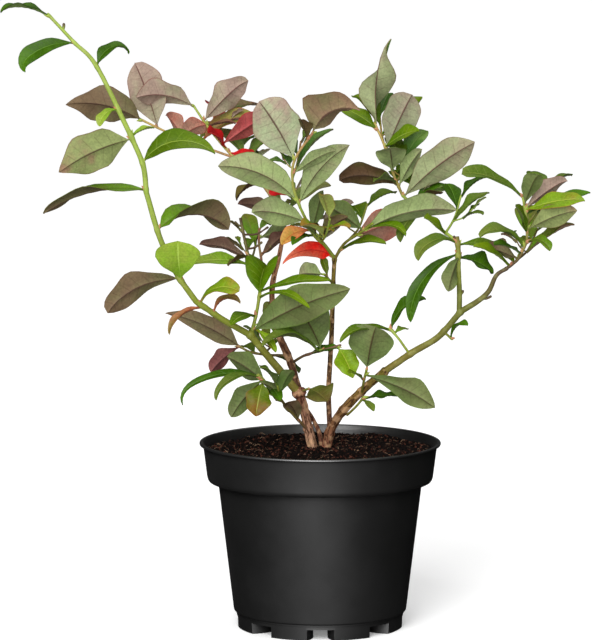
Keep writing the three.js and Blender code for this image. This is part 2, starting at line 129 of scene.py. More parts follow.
GROWN_WIDTH = 0.42  # as a share of a grown leaf's length
SHORTER = 0.82
SHORTER_TRIES = 2
ROUTE_STEPS = 200
DOME_RINGS = 4

# Leaves
ROOT_HALF = 0.6
TIP_HALF = 0.12
PETIOLE = 3.2  # from the middle of the shoot to the foot of the blade
PETIOLE_THICK = 0.8
BLADE_THICK = 0.34
MIDRIB_GROOVE = 0.012  # as a share of the leaf's width
MIDRIB_RIDGE = (0.35, 0.6)  # under the tip, and what the foot has more
PUCKERS = (-0.12, 0.1)  # how far every other row, and the rows between, lie from the blade's middle
FOLD = 10
EXTRA_FOLD = 14
VEINS = 7.5
VEIN_SLANT = 0.42
COLUMNS = np.array([-1, -0.76, -0.44, -0.12, 0, 0.12, 0.44, 0.76, 1])
BLADE_ROWS = 16
BLADE_STEPS = 60
TILE_SHAPE = 2.2  # how much longer than wide a leaf's place on the map is

# Seeds, the first two as in the solids
LEAF_SEED = 1
TWIG_SEED = 101
GROWN_WHIM_SEED = 201
OWN_WHIM_SEED = 251
FINE_SEED = 301
BUD_SEED = 351
CRUMB_SEED = 401
FIBRE_SEED = 402

# Camera, in metres and degrees
CAMERA_PLACE = (-0.017, -2.505, 0.514)
CAMERA_PITCH = 6.76
CAMERA_LENS = 202.2
SENSOR = 36

# Studio
KEY_DIRECTION = (-0.5, -1.45, 1.15)
KEY_STRENGTH = 2.2
KEY_SOFTNESS = 34
FRONT_POWER = 44
TOP_POWER = 8
SEEN_WHITE = (1, 1, 1, 1)
ROOM_GREY = (0.4, 0.4, 0.4, 1)
FLOOR_GREY = (0.5, 0.5, 0.5, 1)
FLOOR_GLOW = 0.19
REFLECTED = (0.002, 0.002, 0.002, 1)


def shade(code):
    """A display colour, written 0xRRGGBB, as the linear values that a shader takes."""
    parts = ((code >> 16 & 255) / 255, (code >> 8 & 255) / 255, (code & 255) / 255)
    return tuple(c / 12.92 if c <= 0.04045 else ((c + 0.055) / 1.055) ** 2.4 for c in parts)


# Bark colours
TAN = shade(0xC69A7C)
ROSE = shade(0x80503E)
BROWN = shade(0x6E4838)
UMBER = shade(0x4E3526)
PEACH = shade(0xB07A58)
OCHRE = shade(0xB89A52)
KHAKI = shade(0x766828)
MOSS = shade(0x606420)
GREEN = shade(0x7C8824)
OLIVINE = shade(0x767C24)
LIME = shade(0x8FA640)

# Leaf tints: the upper side and its blush, the underside and its blush, the ribs of both, the margin
# and how much of a leaf the blush takes.
TINTS = {
    "dark": (0x2E4E02, 0x466E0A, 0x5C7438, 0x6C7848, 0x5E8230, 0x4A5430, 0x24380C, 0.35),
    "deep": (0x445E04, 0x5E760E, 0x667838, 0x767E48, 0x869A3C, 0x54602E, 0x3C5018, 0.4),
    "fresh": (0x4C6C02, 0x6C840A, 0x788A44, 0x889250, 0x96A842, 0x5E6038, 0x566818, 0.4),
    "spring": (0x729622, 0x8EA238, 0x82A050, 0x90A05A, 0xA4BC54, 0x6A7040, 0x647C22, 0.45),
    "lemon": (0x6E8C12, 0x9A7428, 0x96A250, 0xA69C58, 0xA0A842, 0x7E6A38, 0x9A6030, 0.3),
    "yellow": (0x4E600A, 0x744E1A, 0x808C44, 0x90844C, 0x8A923C, 0x6E5430, 0x84502C, 0.28),
    # Painted shade: this tint's underside and its blush are a darker copy of the grey tint's underside, for
    # the low leaves that lie in shade. Its upper side is the leaf's own green.
    "olive": (0x4C641A, 0x627028, 0x5A6A38, 0x687042, 0x849040, 0x43341F, 0x5C7824, 0.4),
    "bronze": (0x567A14, 0x66681E, 0x5A5634, 0x66543C, 0x6E6E36, 0x42261E, 0x5E5A26, 0.45),
    # Partly the leaves' own brown-green and partly painted shade: this tint is darkened for leaves that lie
    # in shadow.
    "tobacco": (0x525A20, 0x5C5024, 0x4E4824, 0x5E4630, 0x6A6630, 0x3A2416, 0x40301A, 0.5),
    "dusk": (0x5A8218, 0x6E6A2A, 0x726B48, 0x826850, 0x7A7440, 0x42261E, 0x6A4030, 0.5),
    "cocoa": (0x5A7218, 0x66602A, 0x645F3E, 0x6E5A42, 0x6E6438, 0x42261E, 0x5E3C2C, 0.5),
    # Partly the leaves' own purple-brown and partly painted shade: this tint is darkened for leaves that lie
    # in shadow.
    "plum": (0x626034, 0x6E4A3A, 0x705C4A, 0x6C4A40, 0x767040, 0x40221E, 0x5A2E2C, 0.5),
    "maroon": (0x6A3A30, 0x5A2424, 0x784C46, 0x7E4A48, 0x6A3430, 0x44201E, 0x702E2E, 0.5),
    "pink": (0x66763A, 0x86604A, 0x8E886E, 0x947E70, 0x7A6A44, 0x5E3430, 0x7A4A40, 0.5),
    "mauve": (0x567628, 0x747440, 0x8E9874, 0x9C8476, 0x7A7A44, 0x4D302A, 0x6E5044, 0.46),
    "grey": (0x4A702A, 0x66843A, 0x84935E, 0x8E8C68, 0x7A9450, 0x4A3428, 0x5E6638, 0.35),
    "silver": (0x4A702A, 0x66843A, 0x8C946A, 0x968A70, 0x7A9450, 0x5A3430, 0x6E5038, 0.4),
    "ashen": (0x4A702A, 0x66843A, 0x868A6A, 0x928070, 0x7A7A50, 0x54302C, 0x6E5048, 0.45),
    "mottled": (0x567628, 0x747440, 0x7E8852, 0x8E6C56, 0x7A7A44, 0x43301F, 0x6A4030, 0.3),
    "rosy": (0x9A3434, 0x7E2A2A, 0xA85450, 0xB04448, 0x8A2A26, 0x6A2426, 0xB02A30, 0.5),
    "blush": (0x8A5634, 0x7E7A3A, 0xA27C68, 0xAE6858, 0x8A3A2C, 0x7A3430, 0xB03A2C, 0.5),
    "red": (0xB81418, 0x981212, 0xAC2E28, 0x9A2824, 0x8A161A, 0x6A1E20, 0x96161A, 0.4),
    "salmon": (0xC46844, 0xA8883C, 0xC07864, 0xB05C4C, 0xB04A2C, 0x8C3A2A, 0xC03A26, 0.5),
    "ember": (0xD81C14, 0xD0684C, 0xB43A2C, 0xC07058, 0xA0161A, 0x8A2A22, 0xC03A26, 0.44),
    "rust": (0x9A5A38, 0x847238, 0xA06A4C, 0x884634, 0x7A3A26, 0x6A2E22, 0x8A3E2C, 0.5),
}
(DARK, DEEP, FRESH, SPRING, LEMON, YELLOW, SHADED_OLIVE, BRONZE, SHADED_TOBACCO, DUSK, COCOA, SHADED_PLUM, MAROON, PINK, MAUVE,
 GREY, SILVER, ASHEN, MOTTLED, ROSY, BLUSH, RED, SALMON, EMBER, RUST) = TINTS
OWN_TINTS = (RED, SALMON, EMBER, RUST, SHADED_TOBACCO, SHADED_PLUM, MAROON, YELLOW)  # not dealt to side twigs


@dataclass
class Limb:
    name: str
    radii: tuple
    path: list
    colours: tuple
    bark: float  # how deep its bark is, from 0 to 1
    rooted: bool = False


@dataclass
class Leaf:
    """A leaf's place on its shoot and its shape, with angles in degrees. The dice gives what is None."""

    share: float  # of the shoot's length
    heading: float  # from +X towards +Y
    rise: float
    length: float
    width: float
    droop: float  # how far it bends down from foot to tip
    face: float  # how far its upper side tips to the front, or below 0 to the back
    tint: str
    fold: float = None  # how far its halves are raised
    twist: float = None
    hook: float = None  # how much further its tip bends down
    roll: float = None  # how far its margins turn up, or below 0 down
    widest: float = None  # the share of its length at which it is
    tip: float = None  # how slim its tip is
    ripple: float = None
    base: float = 1.8  # how full its foot is, from 1 for a straight wedge


@dataclass
class Spray:
    name: str
    radii: tuple
    colours: tuple
    path: list
    leaves: list
    twigs: tuple = (0, 0, 0)
    cut: bool = False


LIMBS = [
    Limb("left_stem", (3.1, 3.2), [(-5, 0, 127), (-8, -2, 139), (-11, -5, 153), (-15, -8, 166)],
         (TAN, ROSE), 1, rooted=True),
    Limb("right_stem", (3.1, 2.5), [(4.5, -1, 127), (9, -3, 143), (24, -9, 163), (45, -17, 183)],
         (ROSE, KHAKI), 1, rooted=True),
    Limb("thin_stem", (1.6, 1.3), [(1, 7.5, 127), (-1, 6, 137), (-6, 3, 148), (-11, -4, 156)],
         (BROWN, ROSE), 0.7, rooted=True),
    Limb("arching_bough", (2.9, 2.4), [(-15, -8, 166), (-25, -13, 179), (-35, -19, 192), (-49, -27, 210)],
         (KHAKI, OLIVINE), 0.35),
    Limb("middle_bough", (2.7, 1.3), [(-15, -8, 166), (-21, 4, 187), (-30, 16, 208), (-34, 28, 234),
                                      (-29, 40, 258), (-26, 46, 273)],
         (UMBER, PEACH), 0.8),
    Limb("centre_stem", (1.9, 1.4), [(7, -2, 137), (6, 5, 165), (8, 9, 205), (9, 9, 237), (10, 8, 259)],
         (BROWN, KHAKI), 0.6),
    Limb("right_bough", (2.4, 2), [(45, -17, 183), (64, -23, 197), (82, -29, 209), (97, -34, 227)],
         (KHAKI, MOSS), 0.4),
    Limb("right_arm", (2.15, 1.2), [(97, -34, 227), (109, -38, 235), (116, -41, 242), (121, -43, 253),
                                    (128, -44, 258)],
         (MOSS, UMBER), 0.4),
    Limb("upright_stub", (1.8, 1.7), [(96, -34, 227), (96, -34, 242), (95, -33, 261)],
         (MOSS, GREEN), 0.3),
]

SPRAYS = [
    Spray("arching_lower", (2.3, 1.95), (OLIVINE, GREEN),
          [(-49, -27, 210), (-67, -34, 221), (-86, -42, 235)],
          [Leaf(0.68, 340, 22, 27, 7, 135, 30, RUST, fold=30),
           Leaf(0.85, 195, -35, 34, 7, 75, 30, RUST, fold=40, hook=20),
           Leaf(0.94, 335, 18, 36, 15, 92, 25, LEMON, fold=14, twist=-60, tip=0.6)]),
    Spray("arching_middle", (2, 1.8), (GREEN, LIME),
          [(-86, -42, 235), (-99, -49, 255), (-110, -56, 280), (-119, -63, 312)],
          [Leaf(0.25, 262, 64, 33, 34, -40, 146, SPRING, fold=18, twist=0, hook=0, roll=10, widest=0.7,
                tip=0.5, ripple=0.03, base=1.05),
           Leaf(0.28, 200, -22, 59, 22, 55, -60, COCOA, fold=8, twist=0, hook=10, widest=0.58, tip=0.7),
           Leaf(0.73, 15, -1, 57, 28, 98, 0, BRONZE, fold=28, twist=118, hook=0, roll=0, widest=0.5,
                tip=0.75, ripple=0.03, base=3.5)]),
    Spray("arching_upper", (1.8, 1.7), (LIME, LIME),
          [(-119, -63, 312), (-121, -66, 331), (-130, -68, 353)],
          [Leaf(0.05, 190, -12, 74, 24, 46, 6, BRONZE, twist=-85, ripple=0.06, hook=0, tip=1),
           Leaf(0.53, 350, 8, 58, 21, 100, 38, DEEP, fold=12, widest=0.36, tip=1.2, hook=0),
           Leaf(0.91, 197, -23, 56, 29, 24, -78, MOTTLED, fold=6, twist=0, ripple=0.08, hook=0, widest=0.42),
           Leaf(0.95, 35, 15, 20, 6, 40, 10, SPRING)]),
    Spray("arching_tip", (1.7, 1), (LIME, LIME),
          [(-130, -68, 353), (-152, -68, 398), (-168, -66, 415), (-185, -62, 433)],
          [Leaf(0.11, 215, -35, 21, 8, 90, 30, SPRING, hook=20),
           Leaf(0.33, 35, 20, 35, 12, 115, 24, DARK, hook=50, widest=0.4, tip=1.2),
           Leaf(0.64, 192, -24, 46, 13.5, 62, 62, DARK, fold=14, hook=85, widest=0.6, tip=1.5),
           Leaf(0.97, 195, 8, 37, 11, 58, 10, DARK, hook=30, ripple=0.1, tip=1.1)]),
    Spray("inner_left", (1.3, 1.1), (PEACH, OCHRE),
          [(-26, 46, 273), (-30, 54, 288), (-41, 64, 308), (-63, 78, 327)],
          [Leaf(0.3, 165, 14, 32, 13, 40, -50, SHADED_PLUM), Leaf(0.57, 120, 20, 29, 12, 20, -50, RED),
           Leaf(0.61, 315, -8, 22, 14, 30, 60, RED), Leaf(0.67, 230, -18, 32, 13, 50, -20, SHADED_TOBACCO),
           Leaf(0.92, 310, -12, 27, 9, 40, 20, MAUVE)],
          twigs=(2, 85, 34)),
    Spray("upper_left", (1.1, 0.8), (OCHRE, LIME),
          [(-63, 78, 327), (-79, 86, 345), (-91, 92, 362)],
          [Leaf(0.05, 325, -10, 24, 13, 20, 50, RED), Leaf(0.13, 240, 30, 29, 15, 30, 50, RED),
           Leaf(0.22, 20, 30, 42, 19, 10, -55, ROSY, fold=10, tip=0.9),
           Leaf(0.58, 345, 8, 22, 6, 25, 15, SHADED_PLUM),
           Leaf(0.68, 20, 42, 45, 21, 15, -74, PINK, fold=8, twist=0, ripple=0.1, tip=0.8),
           Leaf(0.98, 200, 10, 46, 22, 50, -66, PINK, fold=16, twist=0, hook=0, ripple=0.09, tip=0.9)],
          twigs=(1, 90, 26)),
    Spray("far_left", (0.9, 0.8), (PEACH, OCHRE),
          [(-60, 77, 325), (-83, 79, 333), (-102, 80, 340), (-129, 80, 353)],
          [Leaf(0.58, 125, 35, 31, 16, 20, -60, BLUSH), Leaf(0.65, 325, 25, 26, 17, 30, -60, BLUSH, fold=8),
           Leaf(0.85, 130, 60, 53, 28, 15, -68, PINK, fold=6, twist=0, ripple=0.05, tip=0.6),
           Leaf(0.98, 190, 12, 58, 29, 42, -75, COCOA, fold=25, twist=-75, hook=0, widest=0.35, ripple=0.1,
                tip=1.2)],
          twigs=(1, 95, 28)),
    Spray("top_centre", (1, 0.8), (LIME, PEACH),
          [(-14, -24, 298), (-19, -30, 314), (-18, -36, 332), (-5, -40, 352)],
          [Leaf(0.06, 20, 47, 56, 19, 42, -70, GREY, fold=6, twist=0, hook=0, tip=1.2),
           Leaf(0.11, 190, 24, 63, 25, 52, -64, GREY, fold=18, twist=-40, hook=0, widest=0.45, tip=0.85),
           Leaf(0.49, 25, 26, 37, 12, 20, -60, GREY, fold=12),
           Leaf(0.66, 162, 58, 48, 34, 15, -74, MAUVE, fold=6, twist=0, hook=0, widest=0.56, tip=0.6),
           Leaf(0.91, 255, 40, 24, 11, 30, 30, SHADED_TOBACCO),
           Leaf(0.98, 340, 26, 43, 37, 92, -36, DUSK, fold=24, hook=0, widest=0.32, ripple=0.05, tip=1.6)],
          twigs=(1, 80, 36)),
    Spray("centre_fork", (1.3, 1), (GREEN, LIME),
          [(10, 8, 260), (3, 0, 270), (-5, -10, 279), (-14, -24, 298)],
          [Leaf(0.03, 200, -5, 42, 13, 80, 66, EMBER, hook=10, widest=0.2, ripple=0.06, tip=2, base=2.6),
           Leaf(0.42, 45, 42, 42, 16, 25, -66, PINK),
           Leaf(0.5, 320, 35, 32, 13, 30, -50, BRONZE), Leaf(0.52, 295, 18, 29, 7, 90, 20, LEMON),
           Leaf(0.58, 40, 22, 34, 10, 20, -60, BLUSH, twist=25, widest=0.7),
           Leaf(0.64, 235, -8, 28, 10, 30, 20, DARK),
           Leaf(0.69, 60, 62, 32, 13, 20, -55, SHADED_OLIVE, fold=10),
           Leaf(0.72, 212, -20, 27, 13, 55, 45, SALMON, ripple=0.05),
           Leaf(0.83, 165, 10, 41, 22, 25, -68, GREY, fold=8, twist=0, tip=0.8)],
          twigs=(1, 285, 34)),
    Spray("centre_right", (1.1, 0.8), (KHAKI, GREEN),
          [(10, 8, 259), (17, 0, 271), (28, -12, 280), (36, -22, 287)],
          [Leaf(0.18, 330, 10, 39, 10, 50, 28, DEEP, hook=0),
           Leaf(0.59, 335, 4, 42, 11, 75, 22, FRESH, hook=45, tip=1.3),
           Leaf(0.73, 155, 30, 37, 18, 20, -62, SHADED_OLIVE, fold=10, hook=0, widest=0.42, tip=1.2),
           Leaf(0.75, 350, 13, 68, 23, 40, -54, GREY, fold=16, twist=0, hook=0, widest=0.55, tip=0.9),
           Leaf(0.5, 20, 14, 44, 27, 20, -66, BLUSH, fold=8)],
          twigs=(1, 80, 50)),
    Spray("centre_low", (0.9, 0.8), (KHAKI, GREEN),
          [(9, 8, 242), (5, -2, 247), (3, -8, 250)],
          [Leaf(0.46, 120, 60, 18, 6, 20, 20, YELLOW),
           Leaf(0.98, 205, 4, 20, 16, 20, -70, GREY, tip=0.5)]),
    Spray("left_twig", (1.2, 1.1), (GREEN, GREEN),
          [(-48, -27, 210), (-44, -21, 227), (-42, -14, 240)],
          [Leaf(0.08, 345, 24, 77, 29, 18, -70, SHADED_OLIVE, fold=6, twist=0, hook=0, widest=0.42, tip=0.9),
           Leaf(0.15, 330, -42, 25, 8, 30, 20, LEMON), Leaf(0.36, 235, -6, 31, 11, 50, 30, FRESH),
           Leaf(0.8, 306, -2, 62, 6.5, 54, 40, FRESH, fold=10, twist=0, hook=0, tip=1.2),
           Leaf(0.82, 75, 42, 32, 33, 80, 5, FRESH, fold=46, twist=0, widest=0.52, tip=0.9),
           Leaf(0.97, 345, 10, 52, 12, 25, 25, FRESH, twist=0)]),
    Spray("left_twig_top", (1.1, 1), (MOSS, UMBER),
          [(-42, -14, 240), (-48, -9, 254), (-52, -4, 270), (-56, 0, 289)],
          [Leaf(0.39, 200, 3, 46, 12, 35, 40, SPRING), Leaf(0.48, 160, 14, 39, 13, 40, -50, SHADED_PLUM),
           Leaf(0.53, 235, -10, 25, 10, 20, -40, SHADED_TOBACCO), Leaf(0.83, 140, 30, 15, 5, 20, -30, BRONZE)],
          twigs=(1, 95, 36), cut=True),
    Spray("thin_twig", (0.9, 0.8), (BROWN, ROSE),
          [(-41, -12, 242), (-41, 6, 256), (-43, 14, 269), (-43, 20, 279)],
          [Leaf(0.46, 40, 32, 28, 13, 20, -55, SHADED_PLUM), Leaf(0.8, 30, 5, 25, 15, 30, -55, GREY),
           Leaf(0.98, 65, 8, 20, 7, 60, 20, BRONZE)]),
    Spray("low_left", (1.1, 0.9), (BROWN, GREEN),
          [(-9, -4, 140), (-21, -18, 155), (-31, -28, 169), (-43, -36, 183)],
          [Leaf(0.16, 250, 35, 29, 13, 30, -50, DUSK), Leaf(0.71, 300, 25, 18, 5, 20, 30, YELLOW),
           Leaf(0.76, 285, -12, 25, 8, 30, 30, DARK),
           Leaf(0.86, 145, 26, 37, 20, 20, -66, SHADED_OLIVE, fold=8),
           Leaf(0.91, 250, -58, 28, 18, 25, 62, YELLOW, ripple=0.1, fold=8, tip=1),
           Leaf(0.92, 205, -46, 35, 16, 25, -66, SHADED_OLIVE, fold=6, tip=0.8),
           Leaf(0.95, 215, -16, 46, 9, 84, 20, SHADED_OLIVE, hook=40, tip=1.2),
           Leaf(0.98, 190, -14, 66, 9, 62, 25, DARK, hook=75, widest=0.38, tip=1.7)],
          twigs=(1, 275, 28)),
    Spray("behind_left", (1, 0.8), (UMBER, KHAKI),
          [(-24, 8, 191), (-36, 18, 190), (-49, 26, 191), (-58, 30, 195)],
          [Leaf(0.16, 50, -32, 28, 12, 30, 20, DARK), Leaf(0.57, 115, 8, 22, 9, 20, 20, SHADED_OLIVE),
           Leaf(0.93, 170, 24, 60, 19, 26, -64, DUSK, fold=8, widest=0.3, tip=1.3),
           Leaf(0.97, 210, -35, 29, 15, 25, -60, MAROON)],
          twigs=(1, 90, 34)),
    Spray("link", (1, 0.8), (UMBER, BROWN),
          [(-19, 2, 187), (-11, -8, 193), (1, -12, 197), (14, -14, 201)],
          [Leaf(0.37, 345, 14, 24, 11, 20, 20, DARK),
           Leaf(0.62, 215, 10, 54, 14, 75, 20, SHADED_OLIVE, twist=-25),
           Leaf(0.66, 205, 60, 37, 32, 20, -72, SHADED_OLIVE, fold=16, twist=0, tip=0.6),
           Leaf(0.94, 320, -56, 26, 18, 25, 60, LEMON, fold=20, widest=0.38, tip=1.2)]),
    Spray("fork_leaf", (0.9, 0.8), (BROWN, GREEN),
          [(-13, -10, 168), (-8, -18, 171)],
          [Leaf(0.92, 300, -12, 27, 22, 28, 48, SHADED_TOBACCO, ripple=0.08)]),
    Spray("right_low", (0.9, 0.8), (KHAKI, GREEN),
          [(29, -12, 167), (30, -24, 176), (32, -32, 186)],
          [Leaf(0.62, 240, 20, 24, 8, 30, 30, FRESH),
           Leaf(0.81, 350, -24, 54, 22, 25, -62, SHADED_OLIVE, fold=8, twist=10, hook=0, widest=0.6, tip=1.1,
                base=1.15),
           Leaf(0.96, 340, 78, 32, 34, 10, -74, SHADED_OLIVE, fold=18, twist=0, tip=0.55)]),
    Spray("low_spur", (0.9, 0.8), (KHAKI, GREEN),
          [(19, -8, 151), (25, -16, 158), (30, -22, 165)],
          [Leaf(0.93, 300, -22, 17, 6, 30, 20, SHADED_OLIVE), Leaf(0.98, 355, 5, 24, 11, 20, 15, DARK, ripple=0.1)]),
    Spray("right_twiglet", (0.9, 0.8), (GREEN, LIME),
          [(62, -23, 196), (55, -24, 206), (49, -22, 213)],
          [Leaf(0.82, 55, 5, 18, 7, 30, 20, SPRING), Leaf(0.96, 200, -8, 42, 10, 62, 22, DEEP, hook=25),
           Leaf(0.98, 340, 42, 37, 13, 80, 30, DARK, tip=1.1)]),
    Spray("bough_curl", (0.9, 0.8), (MOSS, GREEN),
          [(86, -30, 212), (91, -36, 208)],
          [Leaf(0.85, 330, 38, 20, 9, 110, 20, DARK)]),
    Spray("stub_crown", (1.7, 1.6), (GREEN, KHAKI),
          [(95, -33, 261), (95, -33, 271), (94, -33, 279)],
          [Leaf(0.19, 20, -25, 30, 18, 40, 30, DARK, ripple=0.1),
           Leaf(0.22, 250, -45, 32, 13, 30, -60, SHADED_OLIVE, tip=1),
           Leaf(0.29, 200, -52, 63, 11, 75, 40, DARK, twist=0, tip=0.9),
           Leaf(0.63, 5, -16, 44, 12, 60, 35, DEEP, twist=20),
           Leaf(0.72, 215, -14, 42, 13, 88, 28, SHADED_OLIVE, hook=45, tip=1.1)],
          cut=True),
    Spray("top_right_low", (1.2, 1), (LIME, LIME),
          [(94, -33, 276), (83, -16, 283), (72, 2, 292), (58, 20, 303)],
          [Leaf(0.21, 235, 25, 31, 12, 20, 50, FRESH),
           Leaf(0.66, 225, -36, 34, 10, 85, 20, SHADED_OLIVE, hook=30, tip=1.1),
           Leaf(0.81, 310, 22, 32, 11, 25, -20, SHADED_TOBACCO), Leaf(0.85, 30, 22, 32, 13, 20, 20, DARK),
           Leaf(0.98, 350, 38, 64, 27, 20, -72, SILVER, fold=6, twist=0, hook=0, widest=0.58, tip=1,
                ripple=0.06)],
          twigs=(2, 80, 42)),
    Spray("top_right", (1, 0.8), (KHAKI, OCHRE),
          [(58, 20, 303), (52, 34, 317), (46, 48, 336), (39, 58, 352)],
          [Leaf(0.14, 40, 50, 34, 14, 25, -58, GREY),
           Leaf(0.16, 180, 6, 44, 20, 58, -52, SHADED_TOBACCO, fold=10, tip=0.55),
           Leaf(0.22, 235, 5, 30, 9, 30, -40, SHADED_OLIVE, ripple=0.12),
           Leaf(0.36, 262, 46, 27, 21, 20, -74, GREY, fold=10, tip=0.7),
           Leaf(0.61, 40, 58, 46, 27, 10, -72, ASHEN, fold=6, twist=0, widest=0.62, tip=0.5),
           Leaf(0.65, 320, 24, 34, 15, 30, 45, FRESH, fold=10),
           Leaf(0.88, 165, 30, 34, 15, 30, 38, DEEP),
           Leaf(0.98, 25, 80, 63, 28, 31, -68, SILVER, fold=32, twist=255, hook=20, widest=0.36, tip=1.8,
                ripple=0.05)],
          twigs=(2, 90, 30)),
    Spray("right_end_low", (1.1, 1), (UMBER, KHAKI),
          [(128, -44, 258), (136, -44, 265), (142, -42, 277)],
          [Leaf(0.14, 215, 26, 36, 13, 35, 30, FRESH), Leaf(0.48, 150, 15, 26, 16, 25, -58, DUSK),
           Leaf(0.66, 230, 15, 33, 11, 30, 25, DARK), Leaf(0.83, 195, 15, 38, 14, 90, 20, SHADED_OLIVE, tip=0.6),
           Leaf(0.94, 325, -12, 23, 11, 100, 20, BRONZE, hook=20)],
          twigs=(1, 85, 50)),
    Spray("right_end", (1, 0.8), (KHAKI, LIME),
          [(142, -42, 277), (142, -40, 290), (139, -36, 308)],
          [Leaf(0.18, 245, 45, 31, 12, 25, 45, DEEP),
           Leaf(0.32, 350, 22, 37, 19, 20, -64, MOTTLED, fold=8),
           Leaf(0.67, 15, 16, 49, 12, 15, 20, DARK),
           Leaf(0.72, 345, 12, 43, 16, 25, 40, LEMON, fold=12, ripple=0.06),
           Leaf(0.76, 20, 32, 37, 15, 15, -62, PINK), Leaf(0.82, 300, 54, 29, 15, 20, -60, SHADED_OLIVE),
           Leaf(0.96, 195, 22, 49, 13, 45, 38, SHADED_OLIVE, widest=0.8, tip=0.5)],
          twigs=(1, 80, 40)),
]

# Bare spurs and old flower stalks: the shoot that bears them, share, heading, rise and length
SPURS = [
    ("right_arm", 0.3, 350, 14, 7),
    ("arching_tip", 0.8, 70, 70, 4.5),
    ("left_twig_top", 0.8, 15, 14, 19),
    ("left_twig_top", 0.62, 340, 24, 12),
    ("left_twig_top", 0.9, 200, 30, 6),
    ("thin_twig", 0.5, 330, 35, 10),
    ("upright_stub", 0.4, 20, 40, 3.5),
    ("stub_crown", 0.8, 200, 50, 4),
]


# ---- Shader helpers ----


def node(tree, kind, inputs=(), **settings):
    """A shader node with its settings, and its inputs linked or set by name or number."""
    made = tree.nodes.new(kind)
    for name, value in settings.items():
        setattr(made, name, value)
    for name, value in dict(inputs).items():
        if isinstance(value, bpy.types.NodeSocket):
            tree.links.new(value, made.inputs[name])
        else:
            made.inputs[name].default_value = value
    return made


def mixed(tree, amount, first, second):
    colours = {0: amount, 6: first, 7: second}
    return node(tree, "ShaderNodeMix", colours, data_type="RGBA").outputs[2]


def scaled(tree, colour, amount):
    return node(tree, "ShaderNodeVectorMath", {0: colour, "Scale": amount}, operation="SCALE").outputs[0]


def maths(tree, operation, *values):
    return node(tree, "ShaderNodeMath", enumerate(values), operation=operation).outputs[0]


def ramp(tree, value, low, high, to_low=0.0, to_high=1.0):
    """value from low to high, eased to run from to_low to to_high."""
    span = {"Value": value, 1: low, 2: high, 3: to_low, 4: to_high}
    return node(tree, "ShaderNodeMapRange", span, interpolation_type="SMOOTHSTEP").outputs[0]


def speckle(tree, vector, scale, detail=3.0, roughness=0.55):
    kinds = {"Vector": vector, "Scale": scale, "Detail": detail, "Roughness": roughness}
    return node(tree, "ShaderNodeTexNoise", kinds).outputs["Fac"]


def object_place(tree):
    return node(tree, "ShaderNodeTexCoord").outputs["Object"]


def attribute(tree, name):
    return node(tree, "ShaderNodeAttribute", attribute_name=name, attribute_type="GEOMETRY")


def new_skin(name, inputs):
    """A node group with inputs of these names and kinds, which puts out a surface's colour, roughness
    and height."""
    group = bpy.data.node_groups.new(name, "ShaderNodeTree")
    for title, kind in inputs.items():
        group.interface.new_socket(title, in_out="INPUT", socket_type="NodeSocket" + kind)
    for title, kind in {"Color": "Color", "Roughness": "Float", "Height": "Float"}.items():
        group.interface.new_socket(title, in_out="OUTPUT", socket_type="NodeSocket" + kind)
    return group, group.nodes.new("NodeGroupInput").outputs


def finish_skin(tree, colour, roughness, height):
    node(tree, "NodeGroupOutput", {"Color": colour, "Roughness": roughness, "Height": height})
    return tree


def new_material(name, group, values, specular, bump=1, depth=MM, ior=1.5):
    """A Principled material whose colour, roughness and height come from a group."""
    material = bpy.data.materials.new(name)
    material.use_nodes = True
    tree = material.node_tree
    surface = tree.nodes["Principled BSDF"]
    skin = node(tree, "ShaderNodeGroup", node_tree=group)
    for title, value in values.items():
        skin.inputs[title].default_value = value
    relief = node(tree, "ShaderNodeBump",
                  {"Strength": bump, "Distance": depth, "Height": skin.outputs["Height"]})
    tree.links.new(skin.outputs["Color"], surface.inputs["Base Color"])
    tree.links.new(relief.outputs["Normal"], surface.inputs["Normal"])
    tree.links.new(skin.outputs["Roughness"], surface.inputs["Roughness"])
    surface.inputs["Specular IOR Level"].default_value = specular
    surface.inputs["IOR"].default_value = ior
    return material


# ---- Camera, lights and floor ----


def add_camera():
    data = bpy.data.cameras.new("camera")
    data.sensor_fit = "VERTICAL"
    data.sensor_height = SENSOR
    data.lens = CAMERA_LENS
    camera = bpy.data.objects.new("camera", data)
    camera.location = CAMERA_PLACE
    camera.rotation_euler = (math.radians(90 - CAMERA_PITCH), 0, 0)
    bpy.context.scene.collection.objects.link(camera)
    bpy.context.scene.camera = camera


def add_softbox(name, place, target, size, power):
    """A square area light that looks from its place at a target."""
    data = bpy.data.lights.new(name, "AREA")
    data.size = size
    data.energy = power
    light = bpy.data.objects.new(name, data)
    light.location = place
    light.rotation_euler = (Vector(target) - Vector(place)).to_track_quat("-Z", "Y").to_euler()
    bpy.context.scene.collection.objects.link(light)


def add_key_sun():
    data = bpy.data.lights.new("key_sun", "SUN")
    data.energy = KEY_STRENGTH
    data.angle = math.radians(KEY_SOFTNESS)
    sun = bpy.data.objects.new("key_sun", data)
    sun.rotation_euler = Vector(KEY_DIRECTION).to_track_quat("Z", "Y").to_euler()
    bpy.context.scene.collection.objects.link(sun)


def studio_tone(tree, bounced):
    """White to the camera's own rays, a grey for the light that bounces, and dark in reflections."""
    path = node(tree, "ShaderNodeLightPath").outputs
    lit = mixed(tree, path["Is Glossy Ray"], bounced, REFLECTED)
    return mixed(tree, path["Is Camera Ray"], lit, SEEN_WHITE)


def add_studio():
    bush = (0, 0, 0.2)
    add_key_sun()
    add_softbox("front_softbox", place=(-0.25, -2.7, 0.75), target=bush, size=1.5, power=FRONT_POWER)
    add_softbox("top_softbox", place=(0.4, 0.5, 1.9), target=bush, size=1.6, power=TOP_POWER)
    world = bpy.data.worlds.new("studio")
    world.use_nodes = True
    tree = world.node_tree
    backdrop = tree.nodes["Background"]
    tree.links.new(studio_tone(tree, ROOM_GREY), backdrop.inputs["Color"])
    bpy.context.scene.world = world
    bpy.context.scene.view_settings.view_transform = "Standard"


